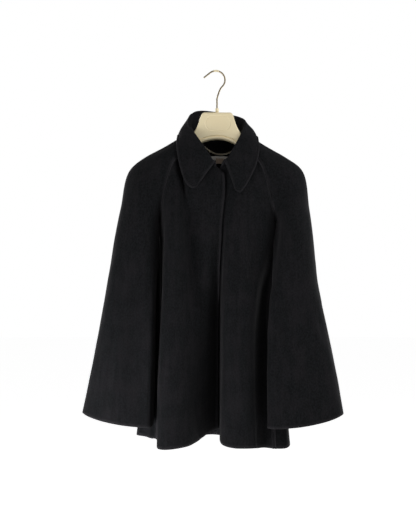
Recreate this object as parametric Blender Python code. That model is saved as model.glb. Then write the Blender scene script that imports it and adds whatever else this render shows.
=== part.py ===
"""A wool swing jacket with raglan bell sleeves, hung on a moulded coat hanger.

Blender scene in metres, +Z up. The front faces -Y and +X is to the right in the front view, so the
wearer's right is at -X. The origin is the underside of the hook, where it bears on its rail.
Tables are in millimetres. Each cloth piece is a grid: fold lines run down it, stations cross it.
"""

import math
from collections import namedtuple

import bpy
import numpy as np

for old in list(bpy.data.objects):
    bpy.data.objects.remove(old)

MM = 0.001
CLOTH = 2.4  # wall of the wool, mm
LEAF = 2.6  # wall of the collar: two layers pressed flat
SEAM_GAP = 0.3  # air between two pieces at a seam
CORNER_GAP = 1.5  # how far each of the four pieces under the arm draws back from the corner
CORNER_WALL = 1.5  # the wall there, steamed thin
COLLAR_GAP = 0.5  # between the collar and the neckline
LABEL = 0.5

# Stations down each fold line, their distance along the cloth, and the rows between them.
STATIONS = ("neck", "collar", "yoke", "tip", "arm", "waist", "hip", "hem")
STATION_AT = (0, 40, 85, 130, 210, 395, 590, 740)
ROWS_BETWEEN = (1, 2, 2, 3, 4, 4, 4)
ARM_ROW = sum(ROWS_BETWEEN[:4])
ROWS = sum(ROWS_BETWEEN) + 1

Line = namedtuple("Line", ("name",) + STATIONS)
Across = namedtuple("Across", ("name",) + STATIONS)

# ---------------------------------------------------------------- seams and fold lines

# Whole seams, shared by the two pieces they join: the neckline's angle, then x, y, z.
RAGLAN_FRONT_RIGHT = Line(
    "raglan_front_right",
    -58, (-94, -41, -208), (-112, -42, -245), (-124, -42, -290),
    (-137, -3, -364), (-138, 10, -545), (-140, 16, -740), (-143, 22, -887))
RAGLAN_BACK_RIGHT = Line(
    "raglan_back_right",
    -140, (-88, 42, -190), (-110, 44, -232), (-124, 43, -282),
    (-137, -3, -364), (-138, 10, -545), (-140, 16, -740), (-143, 22, -887))
RAGLAN_FRONT_LEFT = Line(
    "raglan_front_left",
    -302, (97, -38, -215), (114, -40, -250), (126, -38, -295),
    (140, -3, -366), (124, 4, -545), (132, 2, -740), (139, -5, -903))
RAGLAN_BACK_LEFT = Line(
    "raglan_back_left",
    -220, (88, 42, -190), (110, 44, -232), (125, 42, -284),
    (140, -3, -366), (124, 4, -545), (132, 2, -740), (139, -5, -903))
UNDERARM_RIGHT = Line(
    "underarm_right",
    None, None, None, None,
    (-137, -3, -364), (-146, 2, -545), (-149, 6, -715), (-153, 6, -846))
UNDERARM_LEFT = Line(
    "underarm_left",
    None, None, None, None,
    (140, -3, -366), (131, -26, -545), (123, -38, -715), (122, -44, -844))
OVERARM_RIGHT = Line(
    "overarm_right",
    -90, (-118, 0, -178.5), (-170, 0, -206.5), (-206, 0, -236),
    (-229, 0, -330), (-262, 0, -515), (-294, 0, -690), (-320, 0, -816))
OVERARM_LEFT = Line(
    "overarm_left",
    -270, (116, 0, -178.5), (166, 0, -207.5), (203, 0, -236),
    (221.5, 0, -330), (243, 0, -515), (280, 0, -690), (303, 0, -819))

# Fold lines of the fronts: the neckline's angle above them, then x, y at each station,
# or x, y, z where the cloth has its own height.
FRONT_RIGHT = (
    Line("edge", (17, -57, -250), (19, -54, -266), (20, -52, -293), (17, -50, -322),
         (15, -46, -362), (9, -20, -545), (7, 12, -740), (4, 24, -866)),
    Line("placket", -3, (1, -54), (1, -54), (-1, -52),
         (-3, -49), (-8, -29), (-12, 3), (-14, 15, -872)),
    Line("valley", -11, (-14, -54), (-17, -54), (-18, -52),
         (-20, -50), (-25, -38), (-28, -10), (-29, 3, -879)),
    Line("trough", -19, (-30, -53), (-36, -52), (-40, -49),
         (-42, -47), (-44, -46), (-44, -30), (-43, -17, -885)),
    Line("face", -27, (-46, -51), (-54, -50), (-60, -50),
         (-64, -52), (-66, -57), (-64, -54), (-62, -47, -888)),
    Line("bulge", -35, (-60, -48), (-74, -50), (-82, -54),
         (-90, -58), (-94, -66), (-96, -72), (-96, -72, -889)),
    Line("crest_front", -42, (-73, -46), (-91, -48), (-102, -53),
         (-112, -58), (-118, -69), (-122, -75), (-123, -75, -890)),
    Line("crest", -48, (-82, -44), (-101, -46), (-113, -51),
         (-124, -52), (-130, -62), (-135, -67), (-134, -66, -890)),
    Line("crest_back", -53, (-89, -42), (-107, -44), (-119, -48),
         (-130, -38), (-135, -44), (-139, -47), (-138, -45, -889)),
    Line("side", -56, (-92, -41), (-110, -43), (-122, -45),
         (-133, -24), (-136, -16), (-139, -15), (-140, -12, -888)),
)
FRONT_LEFT = (
    Line("under_edge", (-8, -47, -246), (-10, -47, -266), (-10, -46, -293), (-12, -44, -322),
         (-14, -42, -362), (-20, -29, -545), (-21, 7, -740), (-22, 17, -872)),
    Line("under_mid", (4, -48, -242), (4, -48), (4, -47), (2, -45),
         (0, -41), (-5, -21), (-6, 14), (-8, 24, -870)),
    Line("emerge", -346.5, (20, -48), (21, -46), (19, -44),
         (17, -39), (12, -13), (11, 17), (10, 27, -868)),
    Line("rise", -340, (31, -50), (34, -50), (32, -48),
         (29, -45), (19, -31), (17, -7), (15, 2, -885)),
    Line("slope", -333, (42, -51), (50, -52), (50, -51),
         (46, -50), (31, -46), (27, -34), (26, -24, -890)),
    Line("face", -325, (55, -50), (66, -51), (70, -51),
         (68, -51), (52, -53), (46, -51), (45, -45, -892)),
    Line("bulge", -318, (68, -47), (84, -49), (91, -49),
         (92, -50), (78, -55), (68, -59), (66, -55, -892)),
    Line("crest_front", -312, (78, -45), (96, -47), (107, -47),
         (113, -46), (96, -53), (84, -58), (81, -55, -892)),
    Line("crest", -307, (86, -42), (104, -44), (116, -44),
         (121, -40), (105, -45), (93, -51), (90, -48, -893)),
    Line("crest_back", -304, (91, -40), (109, -42), (121, -41),
         (125, -32), (109, -28), (99, -31), (97, -28, -897)),
    Line("side", -303, (94, -39), (112, -41), (124, -39),
         (131, -17), (114, -9), (112, -9), (114, -8, -900)),
)

# Fold lines of the back, from its left seam to its right one in the front view.
BACK = (
    Line("hollow_right", -146, (-78, 46), (-98, 49), (-113, 50),
         (-128, 36), (-148, 34), (-158, 36), (-168, 42, -885)),
    Line("wing_right", -152, (-67, 49), (-85, 54), (-99, 57),
         (-118, 52), (-158, 50), (-178, 56), (-197, 62, -884)),
    Line("wing_back_right", -158, (-55, 51), (-70, 57), (-82, 61),
         (-101, 63), (-147, 66), (-168, 76), (-186, 84, -884)),
    Line("trough_1", -165, (-42, 52), (-54, 58), (-64, 61),
         (-78, 63), (-112, 62), (-130, 64), (-144, 66, -886)),
    Line("flute_1", -172, (-28, 53), (-36, 59), (-44, 63),
         (-54, 67), (-80, 76), (-94, 88), (-106, 98, -889)),
    Line("trough_2", -178, (-14, 54), (-20, 59), (-24, 62),
         (-30, 65), (-44, 67), (-54, 68), (-62, 69, -889)),
    Line("flute_2", -184, (2, 54), (0, 60), (-2, 64),
         (-4, 68), (-4, 79), (-8, 91), (-12, 101, -891)),
    Line("trough_3", -190, (16, 54), (18, 59), (20, 62),
         (24, 65), (33, 66), (37, 68), (42, 71, -889)),
    Line("flute_3", -196, (30, 53), (36, 59), (42, 63),
         (52, 67), (72, 75), (85, 85), (94, 95, -890)),
    Line("trough_4", -202, (44, 52), (54, 58), (62, 61),
         (76, 62), (102, 62), (118, 64), (128, 68, -889)),
    Line("wing_back_left", -208, (56, 51), (70, 56), (82, 60),
         (99, 60), (134, 62), (150, 67), (162, 74, -890)),
    Line("wing_left", -213, (68, 49), (86, 53), (100, 55),
         (120, 48), (150, 44), (165, 39), (179, 36, -900)),
    Line("hollow_left", -217, (79, 46), (99, 48), (114, 48),
         (128, 26), (144, 22), (156, 13), (168, 5, -904)),
)

# Fold lines of the sleeves: share of the way from the inner seam to the overarm seam, and y.
SLEEVE_FRONT_RIGHT = (
    Across("inner_turn", -62, (.12, -40), (.10, -43), (.10, -46),
           (.08, -27), (.02, -14), (.02, -12), (.02, -12)),
    Across("inner_slope", -67, (.3, -37), (.3, -41), (.28, -46),
           (.18, -45), (.13, -35), (.13, -33), (.13, -33)),
    Across("chest", -73, (.5, -31), (.5, -36), (.5, -43),
           (.42, -53), (.38, -51), (.37, -50), (.38, -52)),
    Across("outer_slope", -79, (.7, -23), (.7, -28), (.72, -35),
           (.68, -46), (.64, -50), (.64, -53), (.65, -50)),
    Across("outer_front", -84, (.87, -12), (.87, -17), (.88, -21),
           (.9, -27), (.89, -33), (.89, -34), (.89, -36)),
    Across("outer_turn", -87, (.96, -6), (.96, -8), (.965, -10),
           (.975, -13), (.98, -15), (.98, -15), (.98, -16)),
)
SLEEVE_BACK_RIGHT = (
    Across("inner_turn", -134, (.12, 40), (.10, 45), (.10, 45),
           (.13, 22), (.03, 17), (.03, 18), (.03, 18)),
    Across("inner_slope", -125, (.3, 36), (.3, 42), (.28, 45),
           (.18, 38), (.15, 29), (.15, 30), (.15, 31)),
    Across("mid_trough", -116, (.5, 29), (.5, 36), (.5, 42),
           (.42, 46), (.38, 36), (.37, 33), (.38, 31)),
    Across("outer_flute", -107, (.7, 21), (.7, 28), (.72, 34),
           (.68, 42), (.64, 42), (.62, 44), (.62, 46)),
    Across("outer_front", -98, (.87, 12), (.87, 17), (.88, 21),
           (.9, 25), (.89, 29), (.89, 31), (.89, 32)),
    Across("outer_turn", -94, (.96, 6), (.96, 8), (.965, 10),
           (.975, 12), (.98, 14), (.98, 14), (.98, 15)),
)
SLEEVE_FRONT_LEFT = (
    Across("inner_edge", -298, (.12, -37), (.10, -41), (.10, -43),
           (.12, -28), (-.04, -47), (-.02, -56), (-.01, -58)),
    Across("inner_slope", -293, (.3, -34), (.3, -39), (.28, -44),
           (.21, -48), (.06, -61), (.07, -67), (.07, -69)),
    Across("chest", -287, (.5, -29), (.5, -35), (.5, -41),
           (.40, -57), (.33, -67), (.33, -71), (.34, -73)),
    Across("outer_slope", -281, (.7, -22), (.7, -27), (.72, -34),
           (.68, -50), (.66, -58), (.65, -61), (.66, -62)),
    Across("outer_front", -276, (.87, -12), (.87, -17), (.88, -21),
           (.9, -30), (.89, -36), (.89, -39), (.89, -40)),
    Across("outer_turn", -273, (.96, -6), (.96, -8), (.965, -10),
           (.975, -14), (.98, -16), (.98, -17), (.98, -18)),
)
SLEEVE_BACK_LEFT = (
    Across("inner_turn", -226, (.12, 40), (.10, 45), (.10, 44),
           (.11, 20), (.03, -12), (.04, -26), (.05, -32)),
    Across("inner_slope", -235, (.3, 36), (.3, 42), (.28, 44),
           (.18, 34), (.17, 6), (.19, -8), (.2, -16)),
    Across("mid_flute", -244, (.5, 29), (.5, 36), (.5, 41),
           (.42, 42), (.40, 27), (.41, 16), (.42, 8)),
    Across("outer_flute", -253, (.7, 21), (.7, 28), (.72, 33),
           (.68, 40), (.64, 38), (.63, 34), (.63, 32)),
    Across("outer_front", -262, (.87, 12), (.87, 17), (.88, 21),
           (.9, 24), (.89, 27), (.89, 28), (.89, 27)),
    Across("outer_turn", -266, (.96, 6), (.96, 8), (.965, 10),
           (.975, 12), (.98, 13), (.98, 13), (.98, 13)),
)
CUFF_SAG = 5  # how far the cuff's middle hangs under the line between its seams
# Share of the opening between sleeve and body, from the row above the underarm down.
UNDERARM_EASE = (0, 0, 1, 0.9, 0.5)

# ---------------------------------------------------------------- neckline and collar

NECK_HALF_WIDTH = 66
NECK_FRONT_REACH = 52
NECK_BACK_REACH = 48
NECK_SIDE_Z = -147
NECK_FRONT_DROP = 86
NECK_BACK_DROP = 12

# Sections of the collar by angle round the neck, 0 at the front, minus towards -X: the roll line,
# the outer edge of the fall, and the half width of the roll.
Section = namedtuple("Section", "angle roll edge half_roll")
COLLAR = (
    Section(-3, (-5, -63, -224), (-46, -72, -281), 3.8),
    Section(-11, (-13, -62, -215), (-54, -73, -285), 3.8),
    Section(-20, (-21, -58, -203), (-64, -71, -281), 3.9),
    Section(-33, (-31, -50, -186), (-75, -66, -265), 4.1),
    Section(-50, (-40, -37, -171), (-86, -57, -233), 4.4),
    Section(-70, (-56, -20, -147), (-94, -39, -189), 5.0),
    Section(-90, (-66, 8, -123), (-94, 0, -157), 5.6),
    Section(-116, (-62, 35, -97), (-90, 42, -170), 6.0),
    Section(-145, (-38, 50, -85), (-62, 70, -190), 6.4),
    Section(-180, (0, 57, -87), (2, 77, -197), 6.4),
    Section(-215, (38, 51, -96), (64, 70, -192), 6.4),
    Section(-244, (64, 37, -106), (94, 42, -174), 6.0),
    Section(-270, (70, 9, -126), (99, 0, -160), 5.6),
    Section(-290, (61, -19, -149), (100, -38, -193), 5.0),
    Section(-310, (49, -34, -174), (92, -56, -229), 4.4),
    Section(-326, (38, -47, -194), (77, -65, -262), 4.1),
    Section(-336, (28, -55, -210), (63, -70, -285), 3.9),
    Section(-342, (21, -59, -217), (53, -72, -295), 3.8),
    Section(-347, (16, -60, -221), (43, -70, -290), 3.8),
)
COLLAR_COLUMNS_BETWEEN = 2
FALL_BULGE = 5

# ---------------------------------------------------------------- splines and grids


def tangents(points, at):
    """Slope of a smooth curve at each of its points, weighted by the gaps on either side."""
    gaps = np.diff(at)
    slopes = np.diff(points, axis=0) / gaps[:, None]
    out = np.empty_like(points)
    before, after = gaps[:-1, None], gaps[1:, None]
    out[1:-1] = (slopes[:-1] * after + slopes[1:] * before) / (before + after)
    out[0], out[-1] = slopes[0], slopes[-1]
    return out


def hermite(start, end, slope_start, slope_end, gap, share):
    """Point at a share of the way along one span of a cubic curve."""
    t2, t3 = share**2, share**3
    return (
        (2 * t3 - 3 * t2 + 1) * start
        + (t3 - 2 * t2 + share) * gap * slope_start
        + (3 * t2 - 2 * t3) * end
        + (t3 - t2) * gap * slope_end
    )


def along(points, at, counts, slopes=None):
    """The curve through `points`, with counts[i] steps in its i-th span."""
    points, at = np.asarray(points, float), np.asarray(at, float)
    slopes = tangents(points, at) if slopes is None else slopes
    out = [points[0]]
    for i, count in enumerate(counts):
        for step in range(1, count + 1):
            out.append(hermite(points[i], points[i + 1], slopes[i], slopes[i + 1],
                               at[i + 1] - at[i], step / count))
    return np.array(out)


def rows_of(stations, first=0):
    """A fold line's points, one to a row, from its stations (from the first one given)."""
    return along(stations, STATION_AT[first:], ROWS_BETWEEN[first:])


def with_neck(line):
    """A line's stations as points, its neck angle turned into a point of the neckline."""
    first = line[1] if isinstance(line[1], tuple) else neck_point(line[1])
    return [first] + list(line[2:])


def seam_rows(line):
    return rows_of(with_neck(line))


def sleeve_inner_rows(raglan, underarm):
    """The raglan seam down to the underarm, then the sleeve's own underarm seam to the cuff."""
    upper = seam_rows(raglan)[: ARM_ROW + 1]
    lower = rows_of(underarm[5:], first=4)
    return np.vstack([upper, lower[1:]])


def body_rows(lines, last, first=None):
    """Fold lines given by x, y: a missing z lies evenly between the piece's two border lines."""
    near, far = with_neck(first or lines[0]), with_neck(last)
    extra = 1 if first else 0
    out = []
    for i, line in enumerate(lines):
        share = (i + extra) / (len(lines) + extra)
        points = with_neck(line)
        for k, point in enumerate(points):
            if len(point) == 2:
                points[k] = (*point, near[k][2] + (far[k][2] - near[k][2]) * share)
        out.append(rows_of(points))
    return out


def sleeve_rows(folds, inner, outer):
    """Fold lines given by their share of the way from the inner line to the outer, and y."""
    sag = np.zeros(ROWS)
    sag[ARM_ROW:] = np.linspace(0, 1, ROWS - ARM_ROW) ** 2 * CUFF_SAG
    out = []
    for fold in folds:
        table = rows_of(fold[2:], first=1)
        share = table[:, :1]
        line = inner[1:] + (outer[1:] - inner[1:]) * share
        line[:, 1] = table[:, 1]
        line[:, 2] -= 4 * share[:, 0] * (1 - share[:, 0]) * sag[1:]
        out.append(np.vstack([neck_point(fold.neck), line]))
    return out


def opened(lines, shifts):
    """Moves lines apart just below the underarm, so that sleeve and body part in a U."""
    ease = np.zeros(ROWS)
    ease[ARM_ROW - 1: ARM_ROW + len(UNDERARM_EASE) - 1] = UNDERARM_EASE
    for line, shift in zip(lines, shifts):
        line[:, 0] += shift * ease


def across(lines, before, after, count):
    """Grid of points rows x columns through the fold lines, smooth into the neighbours' lines."""
    keys = np.array([before] + list(lines) + [after])
    grid = []
    for row in range(ROWS):
        points = keys[:, row]
        gaps = np.sqrt(np.maximum(np.linalg.norm(np.diff(points, axis=0), axis=1), 1e-3))
        at = np.concatenate([[0], np.cumsum(gaps)])
        slopes = tangents(points, at)
        grid.append(along(points[1:-1], at[1:-1], [count] * (len(lines) - 1), slopes[1:-1]))
    return np.array(grid)


def mirrored(edge, inner):
    """A ghost line past a free edge, so that the cloth ends straight."""
    return 2 * edge - inner


def switched(upper, lower):
    """A neighbour's line that changes at the underarm, where the sleeve leaves the body."""
    return np.vstack([upper[: ARM_ROW], lower[ARM_ROW:]])


def neck_curve(angle):
    """Exact point of the neckline at an angle, 0 at the front and -90 at -X."""
    a = math.radians(angle)
    front = math.cos(a)
    x = NECK_HALF_WIDTH * math.copysign(abs(math.sin(a)) ** 1.2, math.sin(a))
    if front > 0:
        drop = NECK_FRONT_DROP * (1.25 * front**2 - 0.25 * front**6)
        return np.array([x, -NECK_FRONT_REACH * front, NECK_SIDE_Z - drop])
    return np.array([x, -NECK_BACK_REACH * front, NECK_SIDE_Z + NECK_BACK_DROP * front])


def collar_angles():
    table = [section.angle for section in COLLAR]
    steps = [np.linspace(a, b, COLLAR_COLUMNS_BETWEEN, endpoint=False)
             for a, b in zip(table[:-1], table[1:])]
    return np.concatenate(steps + [[table[-1]]])


def neck_point(angle):
    """Point of the neckline on the collar's own facets, so that the seam keeps its gap."""
    knots = collar_angles()
    corners = np.array([neck_curve(knot) for knot in knots])
    return np.array([np.interp(-angle, -knots, corners[:, i]) for i in range(3)])


def neck_normal(angle):
    a = math.radians(angle)
    return np.array([math.sin(a), -math.cos(a), 0.0])


# ---------------------------------------------------------------- walls


def grid_normals(grid):
    """Area-weighted normal at each point of a grid, not yet unit length."""
    down = np.diff(grid, axis=0)
    right = np.diff(grid, axis=1)
    normals = np.zeros_like(grid)
    for i0, j0 in ((0, 0), (0, 1), (1, 0), (1, 1)):
        d = down[:, j0: down.shape[1] - 1 + j0]
        r = right[i0: right.shape[0] - 1 + i0, :]
        face = np.cross(r, d)
        normals[i0: i0 + face.shape[0], j0: j0 + face.shape[1]] += face
    return normals


def unit(vectors):
    return vectors / np.maximum(np.linalg.norm(vectors, axis=-1, keepdims=True), 1e-12)


def key_of(point):
    return tuple(np.round(point, 3))


def shared_normals(grids, fixed, corners):
    """Unit normals of every grid; points that two pieces share get one normal between them,
    but for the corners under the arm, where each piece keeps its own."""
    sums = {}
    raw = {}
    for name, grid in grids.items():
        raw[name] = grid_normals(grid) * FACING[name]
        for point, normal in zip(grid.reshape(-1, 3), raw[name].reshape(-1, 3)):
            key = key_of(point)
            sums[key] = sums.get(key, 0) + normal
    out = {}
    for name, grid in grids.items():
        flat = []
        for point, own in zip(grid.reshape(-1, 3), raw[name].reshape(-1, 3)):
            key = key_of(point)
            flat.append(unit(own) if key in corners else fixed.get(key, unit(sums[key])))
        out[name] = np.array(flat).reshape(grid.shape)
    return out


def pulled_in(grid, normals, side):
    """Moves one border of a grid into its piece by half a seam's gap."""
    edge, inner = {
        "left": ((slice(None), 0), (slice(None), 1)),
        "right": ((slice(None), -1), (slice(None), -2)),
        "top": ((0, slice(None)), (1, slice(None))),
    }[side]
    line = grid[edge]
    run = unit(np.gradient(line, axis=0))
    normal = normals[edge]
    inward = grid[inner] - line
    for axis in (normal, run):
        inward = inward - (inward * axis).sum(axis=1, keepdims=True) * axis
    grid[edge] = line + unit(inward) * SEAM_GAP / 2
    return grid


def wall_mesh(name, middle, normals, thickness):
    """Closed wall on a grid of middle points: outer face, inner face and a rim."""
    half = np.broadcast_to(np.asarray(thickness) / 2, middle.shape[:2])[..., None]
    outer, inner = middle + normals * half, middle - normals * half
    rows, columns = middle.shape[:2]
    points = np.vstack([outer.reshape(-1, 3), inner.reshape(-1, 3)])
    faces = []
    shift = rows * columns
    flat = middle.reshape(-1, 3)
    for i in range(rows - 1):
        for j in range(columns - 1):
            a, b = i * columns + j, i * columns + j + 1
            c, d = b + columns, a + columns
            # Both faces fold on the same, shorter diagonal, so that a twisted cell keeps its wall.
            if np.linalg.norm(flat[a] - flat[c]) < np.linalg.norm(flat[b] - flat[d]):
                halves = (a, b, c), (a, c, d)
            else:
                halves = (a, b, d), (b, c, d)
            for p, q, r in halves:
                faces += [(p, q, r), (p + shift, r + shift, q + shift)]
    border = [j for j in range(columns)]
    border += [i * columns + columns - 1 for i in range(1, rows)]
    border += [(rows - 1) * columns + j for j in range(columns - 2, -1, -1)]
    border += [i * columns for i in range(rows - 2, 0, -1)]
    # Both pieces of a seam split its end faces on the same diagonal, so that they stay apart.
    for a, b in zip(border, border[1:] + border[:1]):
        if b > a:
            faces += [(b, a, b + shift), (a, a + shift, b + shift)]
        else:
            faces += [(b, a, a + shift), (b, a + shift, b + shift)]
    return add_mesh(name, points, faces)


def add_mesh(name, points, faces):
    """A mesh object from points in mm, with its faces turned out."""
    points = np.asarray(points, float) * MM
    volume = 0.0
    for face in faces:
        for k in range(1, len(face) - 1):
            a, b, c = points[face[0]], points[face[k]], points[face[k + 1]]
            volume += np.dot(a, np.cross(b, c))
    if volume < 0:
        faces = [tuple(reversed(face)) for face in faces]
    mesh = bpy.data.meshes.new(name)
    mesh.from_pydata([tuple(p) for p in points], [], faces)
    mesh.update()
    obj = bpy.data.objects.new(name, mesh)
    bpy.context.scene.collection.objects.link(obj)
    return obj


def loft_mesh(name, rings):
    """Closed solid through rings of points, its two ends capped."""
    rings = np.asarray(rings, float)
    count, sides = rings.shape[:2]
    faces = []
    for i in range(count - 1):
        for j in range(sides):
            k = (j + 1) % sides
            faces.append((i * sides + j, i * sides + k, (i + 1) * sides + k, (i + 1) * sides + j))
    faces.append(tuple(reversed(range(sides))))
    faces.append(tuple((count - 1) * sides + j for j in range(sides)))
    return add_mesh(name, rings.reshape(-1, 3), faces)


def tube_rings(path, radius, sides):
    """Rings of a round tube on a path that stays near one plane."""
    path = np.asarray(path, float)
    run = unit(np.gradient(path, axis=0))
    rings = []
    side = unit(np.cross(run[0], (0.0, 1.0, 0.0)))
    for point, direction in zip(path, run):
        side = unit(side - np.dot(side, direction) * direction)
        other = np.cross(direction, side)
        turns = np.linspace(0, 2 * math.pi, sides, endpoint=False)
        rings.append([point + radius * (math.cos(t) * side + math.sin(t) * other) for t in turns])
    return rings


def cut(obj, cutter):
    """Takes the cutter's shape out of obj and removes the cutter."""
    change = obj.modifiers.new("cut", "BOOLEAN")
    change.operation = "DIFFERENCE"
    change.solver = "EXACT"
    change.object = cutter
    bpy.context.view_layer.update()
    graph = bpy.context.evaluated_depsgraph_get()
    mesh = bpy.data.meshes.new_from_object(obj.evaluated_get(graph))
    obj.modifiers.clear()
    obj.data = mesh
    bpy.data.objects.remove(cutter)


def material(name, colour, roughness, metallic=0.0):
    found = bpy.data.materials.new(name)
    found.use_nodes = True
    shader = found.node_tree.nodes["Principled BSDF"]
    shader.inputs["Base Color"].default_value = (*colour, 1)
    shader.inputs["Roughness"].default_value = roughness
    shader.inputs["Metallic"].default_value = metallic
    return found


# ---------------------------------------------------------------- the jacket's panels

# Which way each grid's cross product points: +1 where it already faces out of the cloth.
FACING = {
    "front_right": 1, "front_left": -1, "back": 1,
    "sleeve_front_right": 1, "sleeve_back_right": -1,
    "sleeve_front_left": -1, "sleeve_back_left": 1,
}

raglan_fr, raglan_br = seam_rows(RAGLAN_FRONT_RIGHT), seam_rows(RAGLAN_BACK_RIGHT)
raglan_fl, raglan_bl = seam_rows(RAGLAN_FRONT_LEFT), seam_rows(RAGLAN_BACK_LEFT)
over_r, over_l = seam_rows(OVERARM_RIGHT), seam_rows(OVERARM_LEFT)
inner_fr = sleeve_inner_rows(RAGLAN_FRONT_RIGHT, UNDERARM_RIGHT)
inner_br = sleeve_inner_rows(RAGLAN_BACK_RIGHT, UNDERARM_RIGHT)
inner_fl = sleeve_inner_rows(RAGLAN_FRONT_LEFT, UNDERARM_LEFT)
inner_bl = sleeve_inner_rows(RAGLAN_BACK_LEFT, UNDERARM_LEFT)

front_r = body_rows(FRONT_RIGHT, RAGLAN_FRONT_RIGHT) + [raglan_fr]
front_l = body_rows(FRONT_LEFT, RAGLAN_FRONT_LEFT) + [raglan_fl]
back = ([raglan_br]
        + body_rows(BACK, RAGLAN_BACK_LEFT, first=RAGLAN_BACK_RIGHT)
        + [raglan_bl])
# Below the underarm the back meets the fronts at the side seams, so all four rows agree there.
back[0][ARM_ROW:] = raglan_fr[ARM_ROW:]
back[-1][ARM_ROW:] = raglan_fl[ARM_ROW:]
inner_br[ARM_ROW:] = inner_fr[ARM_ROW:]
inner_bl[ARM_ROW:] = inner_fl[ARM_ROW:]

sleeve_fr = [inner_fr] + sleeve_rows(SLEEVE_FRONT_RIGHT, inner_fr, over_r) + [over_r]
sleeve_br = [inner_br] + sleeve_rows(SLEEVE_BACK_RIGHT, inner_br, over_r) + [over_r]
sleeve_fl = [inner_fl] + sleeve_rows(SLEEVE_FRONT_LEFT, inner_fl, over_l) + [over_l]
sleeve_bl = [inner_bl] + sleeve_rows(SLEEVE_BACK_LEFT, inner_bl, over_l) + [over_l]

# The body's side moves in and the sleeve's side out, and the back spreads behind the sleeve.
opened((raglan_fr, front_r[-2], back[1], back[2]), (1, 1, 1, 0))
opened((raglan_fl, front_l[-2], back[-2], back[-3]), (-1, -1, 5, 5))
back[0][ARM_ROW:], back[-1][ARM_ROW:] = raglan_fr[ARM_ROW:], raglan_fl[ARM_ROW:]
opened((inner_fr, sleeve_fr[1], sleeve_br[1]), (-1.5, -1.5, -1.5))
opened((inner_fl, sleeve_fl[1], sleeve_bl[1]), (1.5, 1.5, 1.5))
inner_br[ARM_ROW:], inner_bl[ARM_ROW:] = inner_fr[ARM_ROW:], inner_fl[ARM_ROW:]

FRONT_COLUMNS, BACK_COLUMNS, SLEEVE_COLUMNS = 2, 2, 2
PANELS = {
    "front_right": (front_r, mirrored(front_r[0], front_r[1]),
                    switched(sleeve_fr[1], back[1]), FRONT_COLUMNS),
    "front_left": (front_l, mirrored(front_l[0], front_l[1]),
                   switched(sleeve_fl[1], back[-2]), FRONT_COLUMNS),
    "back": (back, switched(sleeve_br[1], front_r[-2]),
             switched(sleeve_bl[1], front_l[-2]), BACK_COLUMNS),
    "sleeve_front_right": (sleeve_fr, switched(front_r[-2], sleeve_br[1]),
                           sleeve_br[-2], SLEEVE_COLUMNS),
    "sleeve_back_right": (sleeve_br, switched(back[1], sleeve_fr[1]),
                          sleeve_fr[-2], SLEEVE_COLUMNS),
    "sleeve_front_left": (sleeve_fl, switched(front_l[-2], sleeve_bl[1]),
                          sleeve_bl[-2], SLEEVE_COLUMNS),
    "sleeve_back_left": (sleeve_bl, switched(back[-2], sleeve_fl[1]),
                         sleeve_fl[-2], SLEEVE_COLUMNS),
}



def angles_of(*lines):
    """Neckline angles of a piece's lines; None where the piece has its own corner there."""
    return [None if isinstance(line.neck, tuple) else line.neck for line in lines]


NECK_ANGLES = {
    "front_right": angles_of(*FRONT_RIGHT, RAGLAN_FRONT_RIGHT),
    "front_left": angles_of(*FRONT_LEFT, RAGLAN_FRONT_LEFT),
    "back": angles_of(RAGLAN_BACK_RIGHT, *BACK, RAGLAN_BACK_LEFT),
    "sleeve_front_right": angles_of(RAGLAN_FRONT_RIGHT, *SLEEVE_FRONT_RIGHT, OVERARM_RIGHT),
    "sleeve_back_right": angles_of(RAGLAN_BACK_RIGHT, *SLEEVE_BACK_RIGHT, OVERARM_RIGHT),
    "sleeve_front_left": angles_of(RAGLAN_FRONT_LEFT, *SLEEVE_FRONT_LEFT, OVERARM_LEFT),
    "sleeve_back_left": angles_of(RAGLAN_BACK_LEFT, *SLEEVE_BACK_LEFT, OVERARM_LEFT),
}

grids, fixed_normals = {}, {}
for name, (lines, before, after, count) in PANELS.items():
    grid = across(lines, before, after, count)
    angles = NECK_ANGLES[name]
    for i in range(len(lines) - 1):
        if angles[i] is None or angles[i + 1] is None:
            continue
        for step in range(count + 1):
            angle = angles[i] + (angles[i + 1] - angles[i]) * step / count
            grid[0, i * count + step] = neck_point(angle)
            fixed_normals[key_of(grid[0, i * count + step])] = neck_normal(angle)
    grids[name] = grid

underarms = [key_of(line.arm) for line in (RAGLAN_FRONT_RIGHT, RAGLAN_FRONT_LEFT)]
normals = shared_normals(grids, fixed_normals, underarms)
SEAMS = {
    "front_right": ("right", "top"), "front_left": ("right", "top"),
    "back": ("left", "right", "top"),
    "sleeve_front_right": ("left", "right", "top"), "sleeve_back_right": ("left", "right", "top"),
    "sleeve_front_left": ("left", "right", "top"), "sleeve_back_left": ("left", "right", "top"),
}
middles = {}
for name, grid in grids.items():
    middle = grid.copy()
    wall = np.full(grid.shape[:2], CLOTH)
    for side in SEAMS[name]:
        pulled_in(middle, normals[name], side)
        column = {"left": 0, "right": -1}.get(side)
        if column is not None and key_of(grid[ARM_ROW, column]) in underarms:
            # Four pieces meet here: each draws back from the corner into itself.
            towards_body = -np.sign(grid[ARM_ROW, column, 0]) * (-1 if "sleeve" in name else 1)
            towards_front = 1 if "back" in name else -1
            middle[ARM_ROW, column] = grid[ARM_ROW, column] + (
                CORNER_GAP * towards_body, CORNER_GAP / 2 * towards_front, 0)
            wall[ARM_ROW, column] = CORNER_WALL
    middles[name] = middle
    wall_mesh(name, middle, normals[name], wall)

# ---------------------------------------------------------------- collar


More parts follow.
